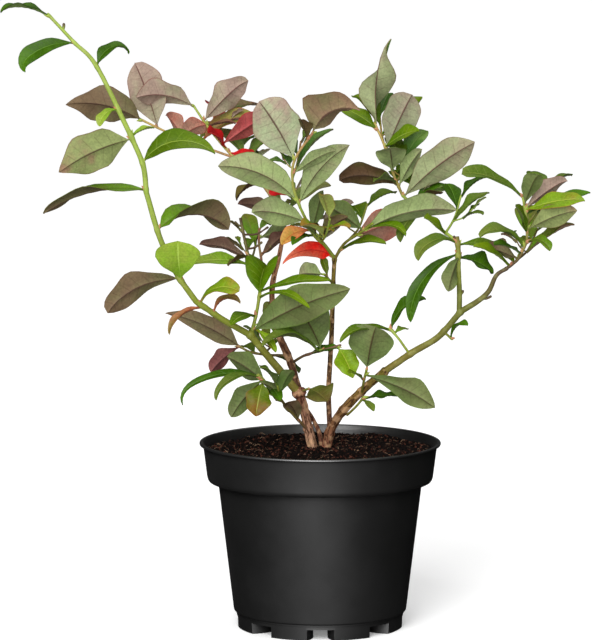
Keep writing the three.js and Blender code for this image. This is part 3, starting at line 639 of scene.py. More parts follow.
def add_floor():
    bpy.ops.mesh.primitive_circle_add(vertices=64, radius=30, fill_type="NGON")
    floor = bpy.context.object
    floor.name = "studio_floor"
    paint = bpy.data.materials.new("pale_floor")
    paint.use_nodes = True
    tree = paint.node_tree
    surface = tree.nodes["Principled BSDF"]
    tone = studio_tone(tree, FLOOR_GREY)
    tree.links.new(tone, surface.inputs["Base Color"])
    tree.links.new(tone, surface.inputs["Emission Color"])
    surface.inputs["Emission Strength"].default_value = FLOOR_GLOW
    surface.inputs["Roughness"].default_value = 1
    surface.inputs["Specular IOR Level"].default_value = 0
    floor.data.materials.append(paint)


# ---- Materials ----


def leaf_skin():
    """A leaf's colours: blush, ribs, side veins, mottling and margin, laid out by leaf_place."""
    tree, given = new_skin("leaf_skin", {"Lamina": "Color", "Blush": "Color", "Rib": "Color",
                                         "Margin": "Color", "Blush Share": "Float", "Roughness": "Float"})
    place = attribute(tree, "leaf_place").outputs["Vector"]
    parts = node(tree, "ShaderNodeSeparateXYZ", {"Vector": place}).outputs
    along, across, seed = parts["X"], maths(tree, "ABSOLUTE", parts["Y"]), parts["Z"]
    position = object_place(tree)
    cloud = speckle(tree, position, 70)
    grain = speckle(tree, position, 650, 4)

    wanted = maths(tree, "SUBTRACT", 1.0, given["Blush Share"])
    own = maths(tree, "SUBTRACT", seed, 0.5)
    drift = maths(tree, "ADD", cloud, maths(tree, "MULTIPLY", own, 0.2))
    tipped = maths(tree, "ADD", drift, maths(tree, "MULTIPLY", maths(tree, "SUBTRACT", along, 0.5), 0.4))
    blush = ramp(tree, maths(tree, "SUBTRACT", tipped, wanted), -0.25, 0.2)
    colour = mixed(tree, blush, given["Lamina"], given["Blush"])

    grainy, cloudy = ramp(tree, grain, 0.3, 0.7, 0.86, 1.12), ramp(tree, cloud, 0.3, 0.7, 1.1, 0.9)
    patchy = maths(tree, "MULTIPLY", grainy, cloudy)
    lit = scaled(tree, colour, maths(tree, "ADD", patchy, maths(tree, "MULTIPLY", own, 0.16)))

    from_vein = maths(tree, "PINGPONG", maths(tree, "ADD", maths(tree, "MULTIPLY", along, VEINS), 0.5), 0.5)
    inner = ramp(tree, across, 0.92, 0.6)
    vein = maths(tree, "MULTIPLY", ramp(tree, from_vein, 0.06, 0.0), inner)
    veined = mixed(tree, maths(tree, "MULTIPLY", vein, 0.3), lit, given["Rib"])
    rib = ramp(tree, across, 0.06, 0.02)
    ribbed = mixed(tree, maths(tree, "MULTIPLY", rib, 0.85), veined, given["Rib"])
    margin = maths(tree, "MULTIPLY", ramp(tree, across, 0.93, 1.0), 0.7)
    finished = mixed(tree, margin, ribbed, given["Margin"])

    roughness = maths(tree, "ADD", given["Roughness"], ramp(tree, grain, 0.3, 0.7, -0.06, 0.06))
    pores = maths(tree, "MULTIPLY", speckle(tree, position, 1500, 2), 0.35)
    height = maths(tree, "SUBTRACT", pores, maths(tree, "MULTIPLY", vein, 0.4))
    return finish_skin(tree, finished, roughness, height)


def opaque(code):
    return (*shade(code), 1)


def leaf_materials():
    """The upper and underside material of each tint, by its name."""
    skin = leaf_skin()

    def side(name, colours, share, roughness, specular):
        lamina, blush, rib, margin = (opaque(code) for code in colours)
        values = {"Lamina": lamina, "Blush": blush, "Rib": rib, "Margin": margin, "Blush Share": share,
                  "Roughness": roughness}
        return new_material(name, skin, values, specular, depth=0.3 * MM)

    pairs = {}
    for tint, (upper, upper_blush, under, under_blush, rib, under_rib, margin, share) in TINTS.items():
        pairs[tint] = (side(tint + "_upper", (upper, upper_blush, rib, margin), share, 0.42, 0.16),
                       side(tint + "_under", (under, under_blush, under_rib, margin), share, 0.62, 0.2))
    return pairs


def bark_skin():
    """Bark that takes its main colour from the bark_colour attribute, with streaks along the grain."""
    tree, given = new_skin("bark_skin", {"Streaks": "Float", "Dark": "Color", "Pale": "Color"})
    grain = attribute(tree, "grain").outputs["Vector"]
    base = attribute(tree, "bark_colour").outputs["Color"]
    long = speckle(tree, grain, 760, 4, 0.62)
    fine = speckle(tree, grain, 3200, 3, 0.6)
    patch = speckle(tree, object_place(tree), 160, 3)
    dark = maths(tree, "MULTIPLY", ramp(tree, long, 0.53, 0.42), given["Streaks"])
    pale = maths(tree, "MULTIPLY", ramp(tree, patch, 0.5, 0.62), given["Streaks"])
    stained = mixed(tree, maths(tree, "MULTIPLY", dark, 0.9), base, given["Dark"])
    flecked = mixed(tree, maths(tree, "MULTIPLY", pale, 0.42), stained, given["Pale"])
    colour = scaled(tree, flecked, ramp(tree, fine, 0.25, 0.75, 0.86, 1.12))
    height = maths(tree, "ADD", maths(tree, "MULTIPLY", long, 0.7), maths(tree, "MULTIPLY", fine, 0.3))
    return finish_skin(tree, colour, ramp(tree, long, 0.2, 0.8, 0.5, 0.72), height)


def bark_materials(skin):
    """The finishes of old bark, green shoots and buds."""
    old = {"Streaks": 1, "Dark": opaque(0x381F14), "Pale": opaque(0xE0B488)}
    young = {"Streaks": 0.35, "Dark": opaque(0x6A6A30), "Pale": opaque(0xB9BE70)}
    bud = {"Streaks": 0.5, "Dark": opaque(0x8A4438), "Pale": opaque(0xC8C070)}
    return {
        "old": new_material("peeling_bark", skin, old, specular=0.12, bump=0.9, depth=0.5 * MM),
        "young": new_material("green_shoot", skin, young, specular=0.4, bump=0.5, depth=0.3 * MM),
        "bud": new_material("bud_scales", skin, bud, specular=0.4, bump=0.5, depth=0.3 * MM),
    }


def plastic_skin():
    """Moulded plastic with a faint haze of scuffs and fine pits."""
    tree, given = new_skin("plastic_skin", {"Shell": "Color", "Scuff": "Color"})
    position = object_place(tree)
    haze = speckle(tree, position, 22, 5, 0.6)
    pits = speckle(tree, position, 1400, 2)
    worn = maths(tree, "MULTIPLY", ramp(tree, haze, 0.4, 0.8), 0.3)
    colour = mixed(tree, worn, given["Shell"], given["Scuff"])
    return finish_skin(tree, colour, ramp(tree, haze, 0.3, 0.7, 0.43, 0.48), pits)


def soil_skin():
    """Moist peat with paler crumbs."""
    tree, given = new_skin("soil_skin", {"Peat": "Color", "Crumb": "Color"})
    clod = speckle(tree, object_place(tree), 420, 5, 0.65)
    colour = mixed(tree, ramp(tree, clod, 0.4, 0.68), given["Peat"], given["Crumb"])
    return finish_skin(tree, colour, ramp(tree, clod, 0.3, 0.7, 0.95, 0.8), clod)


# ---- Seeded dice, directions and routes ----


def make_dice(seed):
    """A dice that gives the solids' throws again."""
    state = seed

    def throw():
        nonlocal state
        state = (state * 1664525 + 1013904223) % 4294967296
        return state / 4294967296

    return throw


def direction(heading, rise):
    """Unit vectors for a heading and one or more rises, in degrees."""
    heading, rise = np.radians(heading), np.radians(rise)
    flat = np.cos(rise)
    return np.stack([flat * np.cos(heading), flat * np.sin(heading), np.sin(rise)], axis=-1)


def unit(vectors):
    return vectors / np.linalg.norm(vectors, axis=-1, keepdims=True)


class Route:
    """The smooth curve through the points of a path."""

    def __init__(self, path):
        points = np.array(path, float)
        before = 2 * points[0] - points[1]
        after = 2 * points[-1] - points[-2]
        self.knots = np.vstack([before, points, after])
        self.spans = len(points) - 1
        self.shares = np.linspace(0, 1, ROUTE_STEPS + 1)
        steps = np.linalg.norm(np.diff(self.at(self.shares), axis=0), axis=1)
        self.distances = np.concatenate([[0], np.cumsum(steps)])
        self.length = self.distances[-1]

    def at(self, share):
        place = np.clip(share, 0, 1) * self.spans
        span = np.minimum(np.floor(place).astype(int), self.spans - 1)
        t = np.asarray(place - span)[..., None]
        a, b, c, d = (self.knots[span + k] for k in range(4))
        start, end = (c - a) / 2, (d - b) / 2
        return (b + start * t + (3 * (c - b) - 2 * start - end) * t ** 2
                + (2 * (b - c) + start + end) * t ** 3)

    def heading(self, share):
        ahead = self.at(np.clip(np.asarray(share) + 1e-4, 0, 1))
        return unit(ahead - self.at(np.clip(np.asarray(share) - 1e-4, 0, 1)))

    def distance(self, share):
        return np.interp(share, self.shares, self.distances)


# ---- Gathered meshes ----


@dataclass
class Patch:
    """Points in millimetres with their faces, a map corner for each face corner, and point values."""

    points: np.ndarray
    faces: list
    corners: np.ndarray
    slots: list
    values: dict


class Heap:
    """Patches that become one joined piece."""

    def __init__(self):
        self.patches = []

    def add(self, patch):
        self.patches.append(patch)

    def build(self, name, materials, smooth_angle):
        """One mesh object at the origin, in metres, with its map and point values."""
        faces, shift = [], 0
        for patch in self.patches:
            faces += [tuple(int(corner) + shift for corner in face) for face in patch.faces]
            shift += len(patch.points)
        mesh = bpy.data.meshes.new(name)
        points = np.concatenate([patch.points for patch in self.patches]) * MM
        mesh.from_pydata(points.tolist(), [], faces)
        mesh.polygons.foreach_set("material_index", [s for patch in self.patches for s in patch.slots])
        layer = mesh.uv_layers.new(name="OFBake")
        layer.data.foreach_set("uv", np.concatenate([patch.corners for patch in self.patches]).ravel())
        for title in self.patches[0].values:
            values = np.concatenate([patch.values[title] for patch in self.patches])
            if title == "bark_colour":
                store = mesh.attributes.new(title, "FLOAT_COLOR", "POINT")
                values = np.column_stack([values, np.ones(len(values))])
                store.data.foreach_set("color", values.ravel())
            else:
                mesh.attributes.new(title, "FLOAT_VECTOR", "POINT").data.foreach_set("vector", values.ravel())
        for material in materials:
            mesh.materials.append(material)
        mesh.update()
        piece = bpy.data.objects.new(name, mesh)
        bpy.context.scene.collection.objects.link(piece)
        smooth(piece, smooth_angle)
        return piece


def smooth(piece, angle):
    bpy.ops.object.select_all(action="DESELECT")
    piece.select_set(True)
    bpy.context.view_layer.objects.active = piece
    bpy.ops.object.shade_smooth_by_angle(angle=math.radians(angle))


def keep(piece, material_slot, *nodes):
    """The piece rides on the bush's one body and stands for its nodes."""
    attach(piece, "root")
    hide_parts(*nodes)


def tree_of(patch):
    return BVHTree.FromPolygons(patch.points.tolist(), [tuple(face) for face in patch.faces])


# ---- Stems ----


def ring_frames(route, shares):
    """Centres, headings and two cross directions of the rings along a route."""
    centres, headings = route.at(shares), route.heading(shares)
    across, acrosses = np.array([0.0, 1.0, 0.0]), []
    for along in headings:
        across = unit(across - across.dot(along) * along)
        acrosses.append(across)
    acrosses = np.array(acrosses)
    return centres, headings, acrosses, np.cross(headings, acrosses)


def dome():
    """How far out the rings of a round end stand and how wide they are, as shares of its radius."""
    angles = np.radians(np.linspace(20, 82, DOME_RINGS))
    return np.sin(angles), np.cos(angles)


def bark_depth(angle, distance, bark, seed):
    """How far bark stands out at a place, as a share of the radius."""
    around = Vector((math.cos(angle), math.sin(angle), 0))
    swells = noise.noise(around * 1.2 + Vector((seed, 0, distance / 9)))
    strips = noise.noise(around * 3.4 + Vector((0, seed, distance / 26)))
    plates = noise.noise(around * 1.6 + Vector((seed, seed, distance / 14)))
    fine = noise.noise(around * 8 + Vector((0, 0, distance / 5 + seed)))
    raised = min(max((strips + 0.05) * 5, 0), 1) + 0.8 * min(max((plates - 0.1) * 9, 0), 1)
    return 0.11 * bark * raised + (0.04 + 0.03 * bark) * swells + 0.05 * bark * fine


def stem_rings(route, radii, spacing, swellings, rooted, cut):
    """The rings of a stem: their centres, their two cross directions, their distances and radii. Its
    ends are round, apart from a rooted foot and a cut end."""
    count = max(4, round(route.length / spacing))
    shares = np.linspace(0, 1, count + 1)
    centres, headings, acrosses, sideways = ring_frames(route, shares)
    distance = route.distance(shares)
    radius = radii[0] + (radii[1] - radii[0]) * shares
    if rooted:
        radius = radius * (1 + FOOT_FLARE * np.exp((SOIL_TOP - centres[:, 2]) / FLARE_LENGTH))
    for where, amount in swellings:
        radius = radius * (1 + amount * np.exp(-((distance - where) / SWELLING_LENGTH) ** 2))

    out, narrow = dome()
    start_out, start_narrow = ([], []) if rooted else (out[::-1], narrow[::-1])
    end_out, end_narrow = ([], []) if cut else (out, narrow)
    order = [0] * len(start_out) + list(range(count + 1)) + [count] * len(end_out)
    thin = np.concatenate([start_narrow, np.ones(count + 1), end_narrow])
    shift = np.concatenate([-np.array(start_out), np.zeros(count + 1), end_out]) * radius[order]
    centres = centres[order] + headings[order] * shift[:, None]
    return centres, acrosses[order], sideways[order], distance[order] + shift, radius[order] * thin


def tube_layout(rings, sides, column, columns):
    """The faces of a tube, its quads and then its two caps, and their corners on a strip of the map."""
    ring, side = np.meshgrid(np.arange(rings - 1), np.arange(sides), indexing="ij")
    ring, side = ring.ravel(), side.ravel()
    onward = (side + 1) % sides
    faces = np.stack([ring * sides + side, ring * sides + onward, (ring + 1) * sides + onward,
                      (ring + 1) * sides + side], axis=1).tolist()
    faces.append(list(range(sides))[::-1])
    faces.append(list(range((rings - 1) * sides, rings * sides)))
    left, right = side / sides, (side + 1) / sides
    low, high = ring / (rings - 1), (ring + 1) / (rings - 1)
    strip = np.stack([left, low, right, low, right, high, left, high], axis=1).reshape(-1, 2)
    strip[:, 0] = (column + 0.04 + 0.92 * strip[:, 0]) / columns
    strip[:, 1] = 0.04 + 0.92 * strip[:, 1]
    angles = 2 * np.pi * np.arange(sides) / sides
    cap = np.stack([(column + 0.5 + 0.3 * np.cos(angles)) / columns, 0.017 + 0.012 * np.sin(angles)], axis=1)
    return faces, np.concatenate([strip, cap[::-1], cap + [0, 0.965]])


def stem(route, radii, sides, spacing, colours, bark, seed, swellings=(), rooted=False, cut=False,
         column=0, columns=1, slot=0):
    """A tapering stem with its bark's relief. A swelling is a distance and a share of the radius, and
    column is the strip of the map that it takes."""
    centres, acrosses, sideways, distance, radius = stem_rings(route, radii, spacing, swellings, rooted, cut)
    angles = 2 * np.pi * np.arange(sides) / sides
    cosines, sines = np.cos(angles), np.sin(angles)
    relief = np.array([[bark_depth(a, d, bark, seed) for a in angles] for d in distance])
    reach = radius[:, None] * (1 + relief)
    outward = acrosses[:, None] * cosines[:, None] + sideways[:, None] * sines[:, None]
    points = centres[:, None] + reach[..., None] * outward
    stretched = np.broadcast_to(distance[:, None] * 0.18, reach.shape)
    grain = np.stack([reach * cosines, reach * sines, stretched], axis=-1) * MM
    blend = np.clip(distance / route.length, 0, 1)[:, None]
    hue = np.array(colours[0]) * (1 - blend) + np.array(colours[1]) * blend
    faces, corners = tube_layout(len(distance), sides, column, columns)
    values = {"grain": grain.reshape(-1, 3) + seed * 0.01, "bark_colour": np.repeat(hue, sides, axis=0)}
    return Patch(points.reshape(-1, 3), faces, corners, [slot] * len(faces), values)


def bud(place, along, length, colour, seed, column, columns):
    """A small pointed bud that stands on a stem, in the second of its piece's materials."""
    route = Route([place, place + along * length / 2, place + along * length])
    return stem(route, (length * 0.34, length * 0.1), sides=6, spacing=length / 4, colours=(colour, colour),
                bark=BUD_BARK, seed=seed, swellings=[(length * 0.35, 0.5)], column=column,
                columns=columns, slot=1)


# ---- Leaves ----


def blade_rows():
    """The rows of a leaf: the foot of its petiole, then the blade from 0 to 1."""
    return np.concatenate([[-1.0], np.linspace(0, 1, BLADE_ROWS)])


def leaf_faces():
    """The faces of every leaf, with the side that each belongs to and its corners on the leaf's map:
    two sheets, upper and lower, joined round their rim. Their quads split along the same diagonal, so
    that a twisted blade doesn't cross itself."""
    rows, columns = BLADE_ROWS + 1, len(COLUMNS)
    sheet = rows * columns
    along = np.linspace(0, 1, rows)
    across = (COLUMNS + 1) / 2
    faces, sides, corners = [], [], []

    def place(index):
        row, column = divmod(index % sheet, columns)
        return along[row], across[column]

    for row in range(rows - 1):
        for column in range(columns - 1):
            a = row * columns + column
            quad = [a, a + columns, a + columns + 1, a + 1]
            faces.append(quad)
            sides.append(0)
            faces.append([quad[2] + sheet, quad[1] + sheet, quad[0] + sheet, quad[3] + sheet])
            sides.append(1)
    for face in faces:
        corners.append([place(index) for index in face])
    edge = [row * columns for row in range(rows)]
    edge += [sheet - columns + column for column in range(1, columns)]
    edge += [row * columns + columns - 1 for row in range(rows - 2, -1, -1)]
    edge += list(range(columns - 2, 0, -1))
    for one, two in zip(edge, edge[1:] + edge[:1]):
        faces.append([one, one + sheet, two + sheet, two])
        sides.append(0)
        (u1, v1), (u2, v2) = place(one), place(two)
        out1, out2 = 0.5 + (v1 - 0.5) * 1.05, 0.5 + (v2 - 0.5) * 1.05
        corners.append([(u1, v1), (u1, out1), (u2, out2), (u2, v2)])
    return faces, sides, corners


LEAF_FACES, LEAF_SIDES, LEAF_CORNERS = leaf_faces()


def outline(share, widest, point, base):
    """A blade's half width at shares of its length, as a share of its greatest."""
    below = np.clip((widest - share) / widest, 0, 1)
    above = np.clip((share - widest) / (1 - widest), 0, 1)
    return np.where(share < widest, (1 - below ** base) ** 1.15, (1 - above ** 2.2) ** point)


def arc(lift, roll, across):
    """Where columns stand beside and above the midrib, on a section whose slope changes outwards."""
    steps = np.linspace(0, 1, 9)[None] * np.abs(across)[:, None]
    slope = np.radians(lift * (1.5 - steps) + roll * steps ** 2)
    mean = np.abs(across)
    return mean * np.cos(slope).mean(axis=1) * np.sign(across), mean * np.sin(slope).mean(axis=1)


def blade_frames(start, leaf, share, twist, hook):
    """Places along a leaf's bent midrib, with the directions above and beside the blade there."""
    shares = np.linspace(0, 1, BLADE_STEPS + 1)
    middle = (shares[1:] + shares[:-1]) / 2
    drop = hook * np.clip((shares - 0.7) / 0.3, 0, 1) ** 2
    rises = leaf.rise + leaf.droop * (0.5 - shares) - drop
    chords = direction(leaf.heading, np.interp(middle, shares, rises))
    line = start + np.vstack([np.zeros(3), np.cumsum(chords * leaf.length / BLADE_STEPS, axis=0)])
    centre = np.stack([np.interp(share, shares, line[:, k]) for k in range(3)], axis=-1)
    along = direction(leaf.heading, np.interp(share, shares, rises))
    tilt = math.radians(leaf.face)
    up = np.array([0, -math.sin(tilt), math.cos(tilt)])
    normal = unit(up - (along @ up)[..., None] * along)
    side = np.cross(normal, along)
    turn = np.radians(twist * (share - 0.4))[..., None]
    return (centre, normal * np.cos(turn) + side * np.sin(turn),
            side * np.cos(turn) - normal * np.sin(turn))


def blade(start, leaf, dice):
    """A leaf as a patch in the layout of LEAF_FACES, bent along an arc from its start."""
    twist = leaf.twist if leaf.twist is not None else 24 * dice() - 12
    hook = leaf.hook if leaf.hook is not None else 30 * dice() ** 2
    roll = leaf.roll if leaf.roll is not None else 26 * dice() - 16
    widest = leaf.widest or 0.48 + 0.1 * dice()
    point = leaf.tip or 0.88 + 0.3 * dice()
    phases = [dice(), dice()]
    ripple = leaf.ripple if leaf.ripple is not None else 0.035 + 0.045 * dice()
    seed = dice()

    foot = min(0.3, PETIOLE / leaf.length)
    rows = blade_rows()[:, None]
    on_blade = np.clip(rows, 0, 1)
    bent = on_blade + VEIN_SLANT * np.abs(COLUMNS) * on_blade * (1 - on_blade)
    share = np.where(rows < 0, 0, foot + (1 - foot) * bent)
    centre, normal, side = blade_frames(start, leaf, share, twist, hook)

    way = np.where(COLUMNS < 0, phases[0], phases[1])
    half = ROOT_HALF + (leaf.width / 2 - ROOT_HALF) * outline(bent, widest, point, leaf.base)
    half = half * (1 + ripple * np.sin(2 * np.pi * (2.3 * bent + way)))
    half = np.where(on_blade == 1, TIP_HALF, half)
    out, height = arc(leaf.fold, roll, COLUMNS)
    swell = np.clip(on_blade * 6, 0, 1)
    wave = 2.2 * ripple * half * COLUMNS ** 2 * np.sin(2 * np.pi * (1.7 * bent + way + 0.3))
    flesh = 1 - COLUMNS ** 2
    pucker = np.where(np.arange(BLADE_ROWS + 1)[:, None] % 2 == 0, *PUCKERS) * flesh * swell
    groove = np.where(COLUMNS == 0, -MIDRIB_GROOVE * leaf.width, 0) * swell
    lift = half * height * swell + wave + pucker + groove
    spread = half * out
    sheet = centre + side * spread[..., None] + normal * lift[..., None]
    thick = np.where(rows <= 0, PETIOLE_THICK, BLADE_THICK) * np.ones_like(COLUMNS)
    ridge = np.where(COLUMNS == 0, MIDRIB_RIDGE[0] + MIDRIB_RIDGE[1] * (1 - on_blade), 0)
    upper = sheet + normal * (thick / 2)[..., None]
    under = sheet - normal * (thick / 2 + ridge)[..., None]
    points = np.concatenate([upper.reshape(-1, 3), under.reshape(-1, 3)])
    place = np.stack(np.broadcast_arrays(on_blade, COLUMNS, seed), axis=-1)
    place = np.concatenate([place.reshape(-1, 3)] * 2)
    return Patch(points, LEAF_FACES, None, None, {"leaf_place": place})


def grown_leaves(route, turn, dice, longest):
    """The alternate leaves of a side twig, shorter towards its tip, with their starts."""
    leaves = []
    for k in range(TWIG_LEAVES):
        outward = k / (TWIG_LEAVES - 1)
        way = (1 if k % 2 else -1) * (1 - 0.6 * outward)
        length = (longest - 10 * outward) * (0.8 + 0.4 * dice())
        start = route.at(FIRST_LEAF + LEAF_SPAN * outward)
        heading = turn + way * (40 + 25 * dice())
        rise = 5 + 40 * dice()
        droop = 20 + 40 * dice()
        face = -30 + 60 * dice()
        fold = FOLD + EXTRA_FOLD * dice()
        width = GROWN_WIDTH * length
        leaves.append((start, Leaf(0, heading, rise, length, width, droop, face, None, fold=fold)))
    return leaves


def grown_twig(shoot, index, count, heading, reach, dice):
    """One side twig by the solids' rule: its route, its heading and its leaves."""
    start = shoot.at((index + 0.35 + 0.3 * dice()) / count)
    turn = heading + (1 if index % 2 else -1) * 25 * dice()
    rise = 10 + 25 * dice()
    half = (reach / 2) * (0.85 + 0.3 * dice())
    bend = start + direction(turn, rise) * half
    end = bend + direction(turn, rise + 20) * half
    route = Route([start, bend, end])
    return route, turn, grown_leaves(route, turn, dice, TWIG_LEAF_LENGTH)


def finer_twig(twig, turn, dice):
    """A short twig on a side twig: its route, its radii and its leaves."""
    start = twig.at(0.3 + 0.15 * dice())
    away = turn + (1 if dice() > 0.5 else -1) * (40 + 25 * dice())
    half = twig.length * (0.16 + 0.06 * dice())
    bend = start + direction(away, 20) * half
    end = bend + direction(away, 45) * half
    route = Route([start, bend, end])
    return route, FINE_TWIG_RADII, grown_leaves(route, away, dice, FINE_LEAF_LENGTH)


def touches(patch, trees):
    own = tree_of(patch)
    return any(own.overlap(tree) for tree in trees)


# ---- The plant ----


def near_starts(route, radius, starts):
    """Distances along a route at which other shoots leave it."""
    points = route.at(route.shares)
    found = []
    for start in starts:
        gaps = np.linalg.norm(points - np.array(start), axis=1)
        if gaps.min() < radius + FORK_REACH:
            found.append(route.distances[gaps.argmin()])
    return found


def spurs_of(plan):
    """The share, heading, rise and length of each bare spur of a shoot."""
    return [spur[1:] for spur in SPURS if spur[0] == plan.name]


def add_spurs(heap, plan, first, columns):
    """The bare spurs of a shoot, each with a knob at its end, on the strips of the map from the first."""
    route = Route(plan.path)
    for k, (share, heading, rise, length) in enumerate(spurs_of(plan)):
        start = route.at(share)
        middle = start + direction(heading, rise - 12) * length / 2
        end = middle + direction(heading + 14, rise + 12) * length / 2
        colours = (plan.colours[1], UMBER)
        heap.add(stem(Route([start, middle, end]), SPUR_RADII, TWIG_SIDES, SPUR_SPACING, colours, SPUR_BARK,
                      k + 7.3, swellings=[(length, 0.6), (length * 0.6, 0.25)], column=first + k,
                      columns=columns))


def bare_shoots():
    """The stem of every limb and spray, by its name, as a patch."""
    starts = [plan.path[0] for plan in LIMBS + SPRAYS]
    patches = {}
    for index, plan in enumerate(LIMBS):
        route = Route(plan.path)
        forks = near_starts(route, plan.radii[0], starts)
        swellings = [(distance, SWELLING) for distance in forks if distance > FOOT_LENGTH]
        patches[plan.name] = stem(route, plan.radii, LIMB_SIDES, LIMB_SPACING, plan.colours, plan.bark,
                                  index * 3.7, swellings, rooted=plan.rooted)
    for index, plan in enumerate(SPRAYS):
        route = Route(plan.path)
        swellings = [(route.distance(leaf.share), SWELLING) for leaf in plan.leaves]
        patches[plan.name] = stem(route, plan.radii, SHOOT_SIDES, SHOOT_SPACING, plan.colours, SHOOT_BARK,
                                  index * 2.3, swellings, cut=plan.cut)
    return patches


def own_leaves(plan, index):
    """A spray's own leaves as starts and shapes, folded by the solids' dice."""
    route, dice = Route(plan.path), make_dice(LEAF_SEED + index)
    found = []
    for leaf in plan.leaves:
        plain = FOLD + EXTRA_FOLD * dice()
        leaf.fold = plain if leaf.fold is None else leaf.fold
        found.append((route.at(leaf.share), leaf))
    return found


def axil_buds(plan, dice):
    """Buds in the axils of a spray's leaves: place, direction and length."""
    route, found = Route(plan.path), []
    for leaf in plan.leaves:
        along = route.heading(leaf.share)
        outward = direction(leaf.heading, leaf.rise)
        outward = unit(outward - outward.dot(along) * along)
        radius = plan.radii[0] + (plan.radii[1] - plan.radii[0]) * leaf.share
        place = route.at(leaf.share) + along * 1.2 + outward * radius * 0.7
        found.append((place, unit(along + 0.8 * outward), 1.8 + 1.3 * dice()))
    return found


def free_blade(start, leaf, dice, trees, own):
    """A grown leaf, shorter where it meets its own spray's leaves, or None where it touches the rest."""
    patch = blade(start, leaf, dice)
    if touches(patch, trees):
        return None
    for _ in range(SHORTER_TRIES):
        if not touches(patch, own):
            break
        leaf.length, leaf.width = leaf.length * SHORTER, leaf.width * SHORTER
        patch = blade(start, leaf, dice)
    return patch


def side_growth(plan, index, trees, own):
    """A spray's side twigs and finer twigs as routes with their radii, and their leaves, where they
    stay free of all other pieces."""
    shoot, dice, fine = Route(plan.path), make_dice(TWIG_SEED + index), make_dice(FINE_SEED + index)
    whim = make_dice(GROWN_WHIM_SEED + index)
    twigs, leaves = [], []
    count, heading, reach = plan.twigs
    tints = [leaf.tint for leaf in plan.leaves if leaf.tint not in OWN_TINTS] or [FRESH]

    def take(route, radii, grown):
        plain = stem(route, radii, sides=4, spacing=6, colours=(LIME, LIME), bark=0, seed=0)
        if touches(plain, trees):
            return False
        twigs.append((route, radii))
        for start, leaf in grown:
            leaf.tint = tints[int(fine() * len(tints))]
            patch = free_blade(start, leaf, whim, trees, own)
            if patch:
                leaves.append((patch, leaf.tint))
        return True

    for k in range(count):
        route, turn, grown = grown_twig(shoot, k, count, heading, reach, dice)
        if take(route, TWIG_RADII, grown):
            take(*finer_twig(route, turn, fine))
    return twigs, leaves


def leaf_piece(plan, leaves, materials):
    """All leaves of a spray as one joined piece. Each side of each leaf has its own place on the map."""
    tints = sorted({tint for _, tint in leaves})
    across = math.ceil(math.sqrt(2 * len(leaves) / TILE_SHAPE))
    down = math.ceil(2 * len(leaves) / across)
    sides = np.array(LEAF_SIDES)
    local = [np.array(corners) for corners in LEAF_CORNERS]
    lengths = [len(corners) for corners in local]
    flat, side_of = np.concatenate(local), np.repeat(sides, lengths)
    heap = Heap()
    for number, (patch, tint) in enumerate(leaves):
        tile = 2 * number + side_of
        column, row = tile % across, tile // across
        patch.corners = np.stack([(column + 0.06 + 0.88 * flat[:, 0]) / across,
                                  (row + 0.08 + 0.84 * flat[:, 1]) / down], axis=1)
        patch.slots = (2 * tints.index(tint) + sides).tolist()
        heap.add(patch)
    slots = [material for tint in tints for material in materials[tint]]
    piece = heap.build(plan.name + "_leaves", slots, 55)
    keep(piece, SLOT_OF["foliage_" + plan.name], "foliage_" + plan.name)


def twig_piece(plan, index, shoot, twigs, barks):
    """A spray's shoot with its side twigs and buds as one joined piece."""
    buds = axil_buds(plan, make_dice(BUD_SEED + index))
    columns = 1 + len(twigs) + len(buds) + len(spurs_of(plan))
    heap = Heap()
    shoot.corners[:, 0] /= columns
    heap.add(shoot)
    for k, (route, radii) in enumerate(twigs):
        heap.add(stem(route, radii, TWIG_SIDES, TWIG_SPACING, plan.colours, SHOOT_BARK, k + 0.5,
                      column=1 + k, columns=columns))
    for k, (place, along, length) in enumerate(buds):
        heap.add(bud(place, along, length, (PEACH, LIME)[k % 2], k, 1 + len(twigs) + k, columns))
    add_spurs(heap, plan, 1 + len(twigs) + len(buds), columns)
    piece = heap.build(plan.name + "_twigs", [barks["young"], barks["bud"]], 50)
    keep(piece, "green_bark", "foliage_" + plan.name)


def limb_piece(plan, limb, barks):
    """A limb with its bare spurs as one joined piece."""
    heap, columns = Heap(), 1 + len(spurs_of(plan))
    limb.corners[:, 0] /= columns
    heap.add(limb)
    add_spurs(heap, plan, 1, columns)
    old = SLOT_OF[plan.name] == "bark"
    piece = heap.build(plan.name + "_bark", [barks["old" if old else "young"]], 60)
    keep(piece, SLOT_OF[plan.name], plan.name)


def own_blades(plan, index):
    """A spray's own leaves as patches with their tints."""
    whim = make_dice(OWN_WHIM_SEED + index)
    return [(blade(start, leaf, whim), leaf.tint) for start, leaf in own_leaves(plan, index)]


def add_plant(bark):
    """All limbs, and then all sprays. A side twig or its leaf that would touch another spray is left out."""
    barks, tints = bark_materials(bark), leaf_materials()
    shoots = bare_shoots()
    for plan in LIMBS:
        limb_piece(plan, shoots[plan.name], barks)
    dressed = {plan.name: own_blades(plan, index) for index, plan in enumerate(SPRAYS)}
    stems = {name: tree_of(patch) for name, patch in shoots.items()}
    blades = {name: [tree_of(patch) for patch, _ in leaves] for name, leaves in dressed.items()}
    for index, plan in enumerate(SPRAYS):
        others = [tree for name, tree in stems.items() if name != plan.name]
        others += [tree for name, trees in blades.items() for tree in trees if name != plan.name]
        twigs, grown = side_growth(plan, index, others, blades[plan.name])
        twig_piece(plan, index, shoots[plan.name], twigs, barks)
        leaf_piece(plan, dressed[plan.name] + grown, tints)


# ---- Pot ----


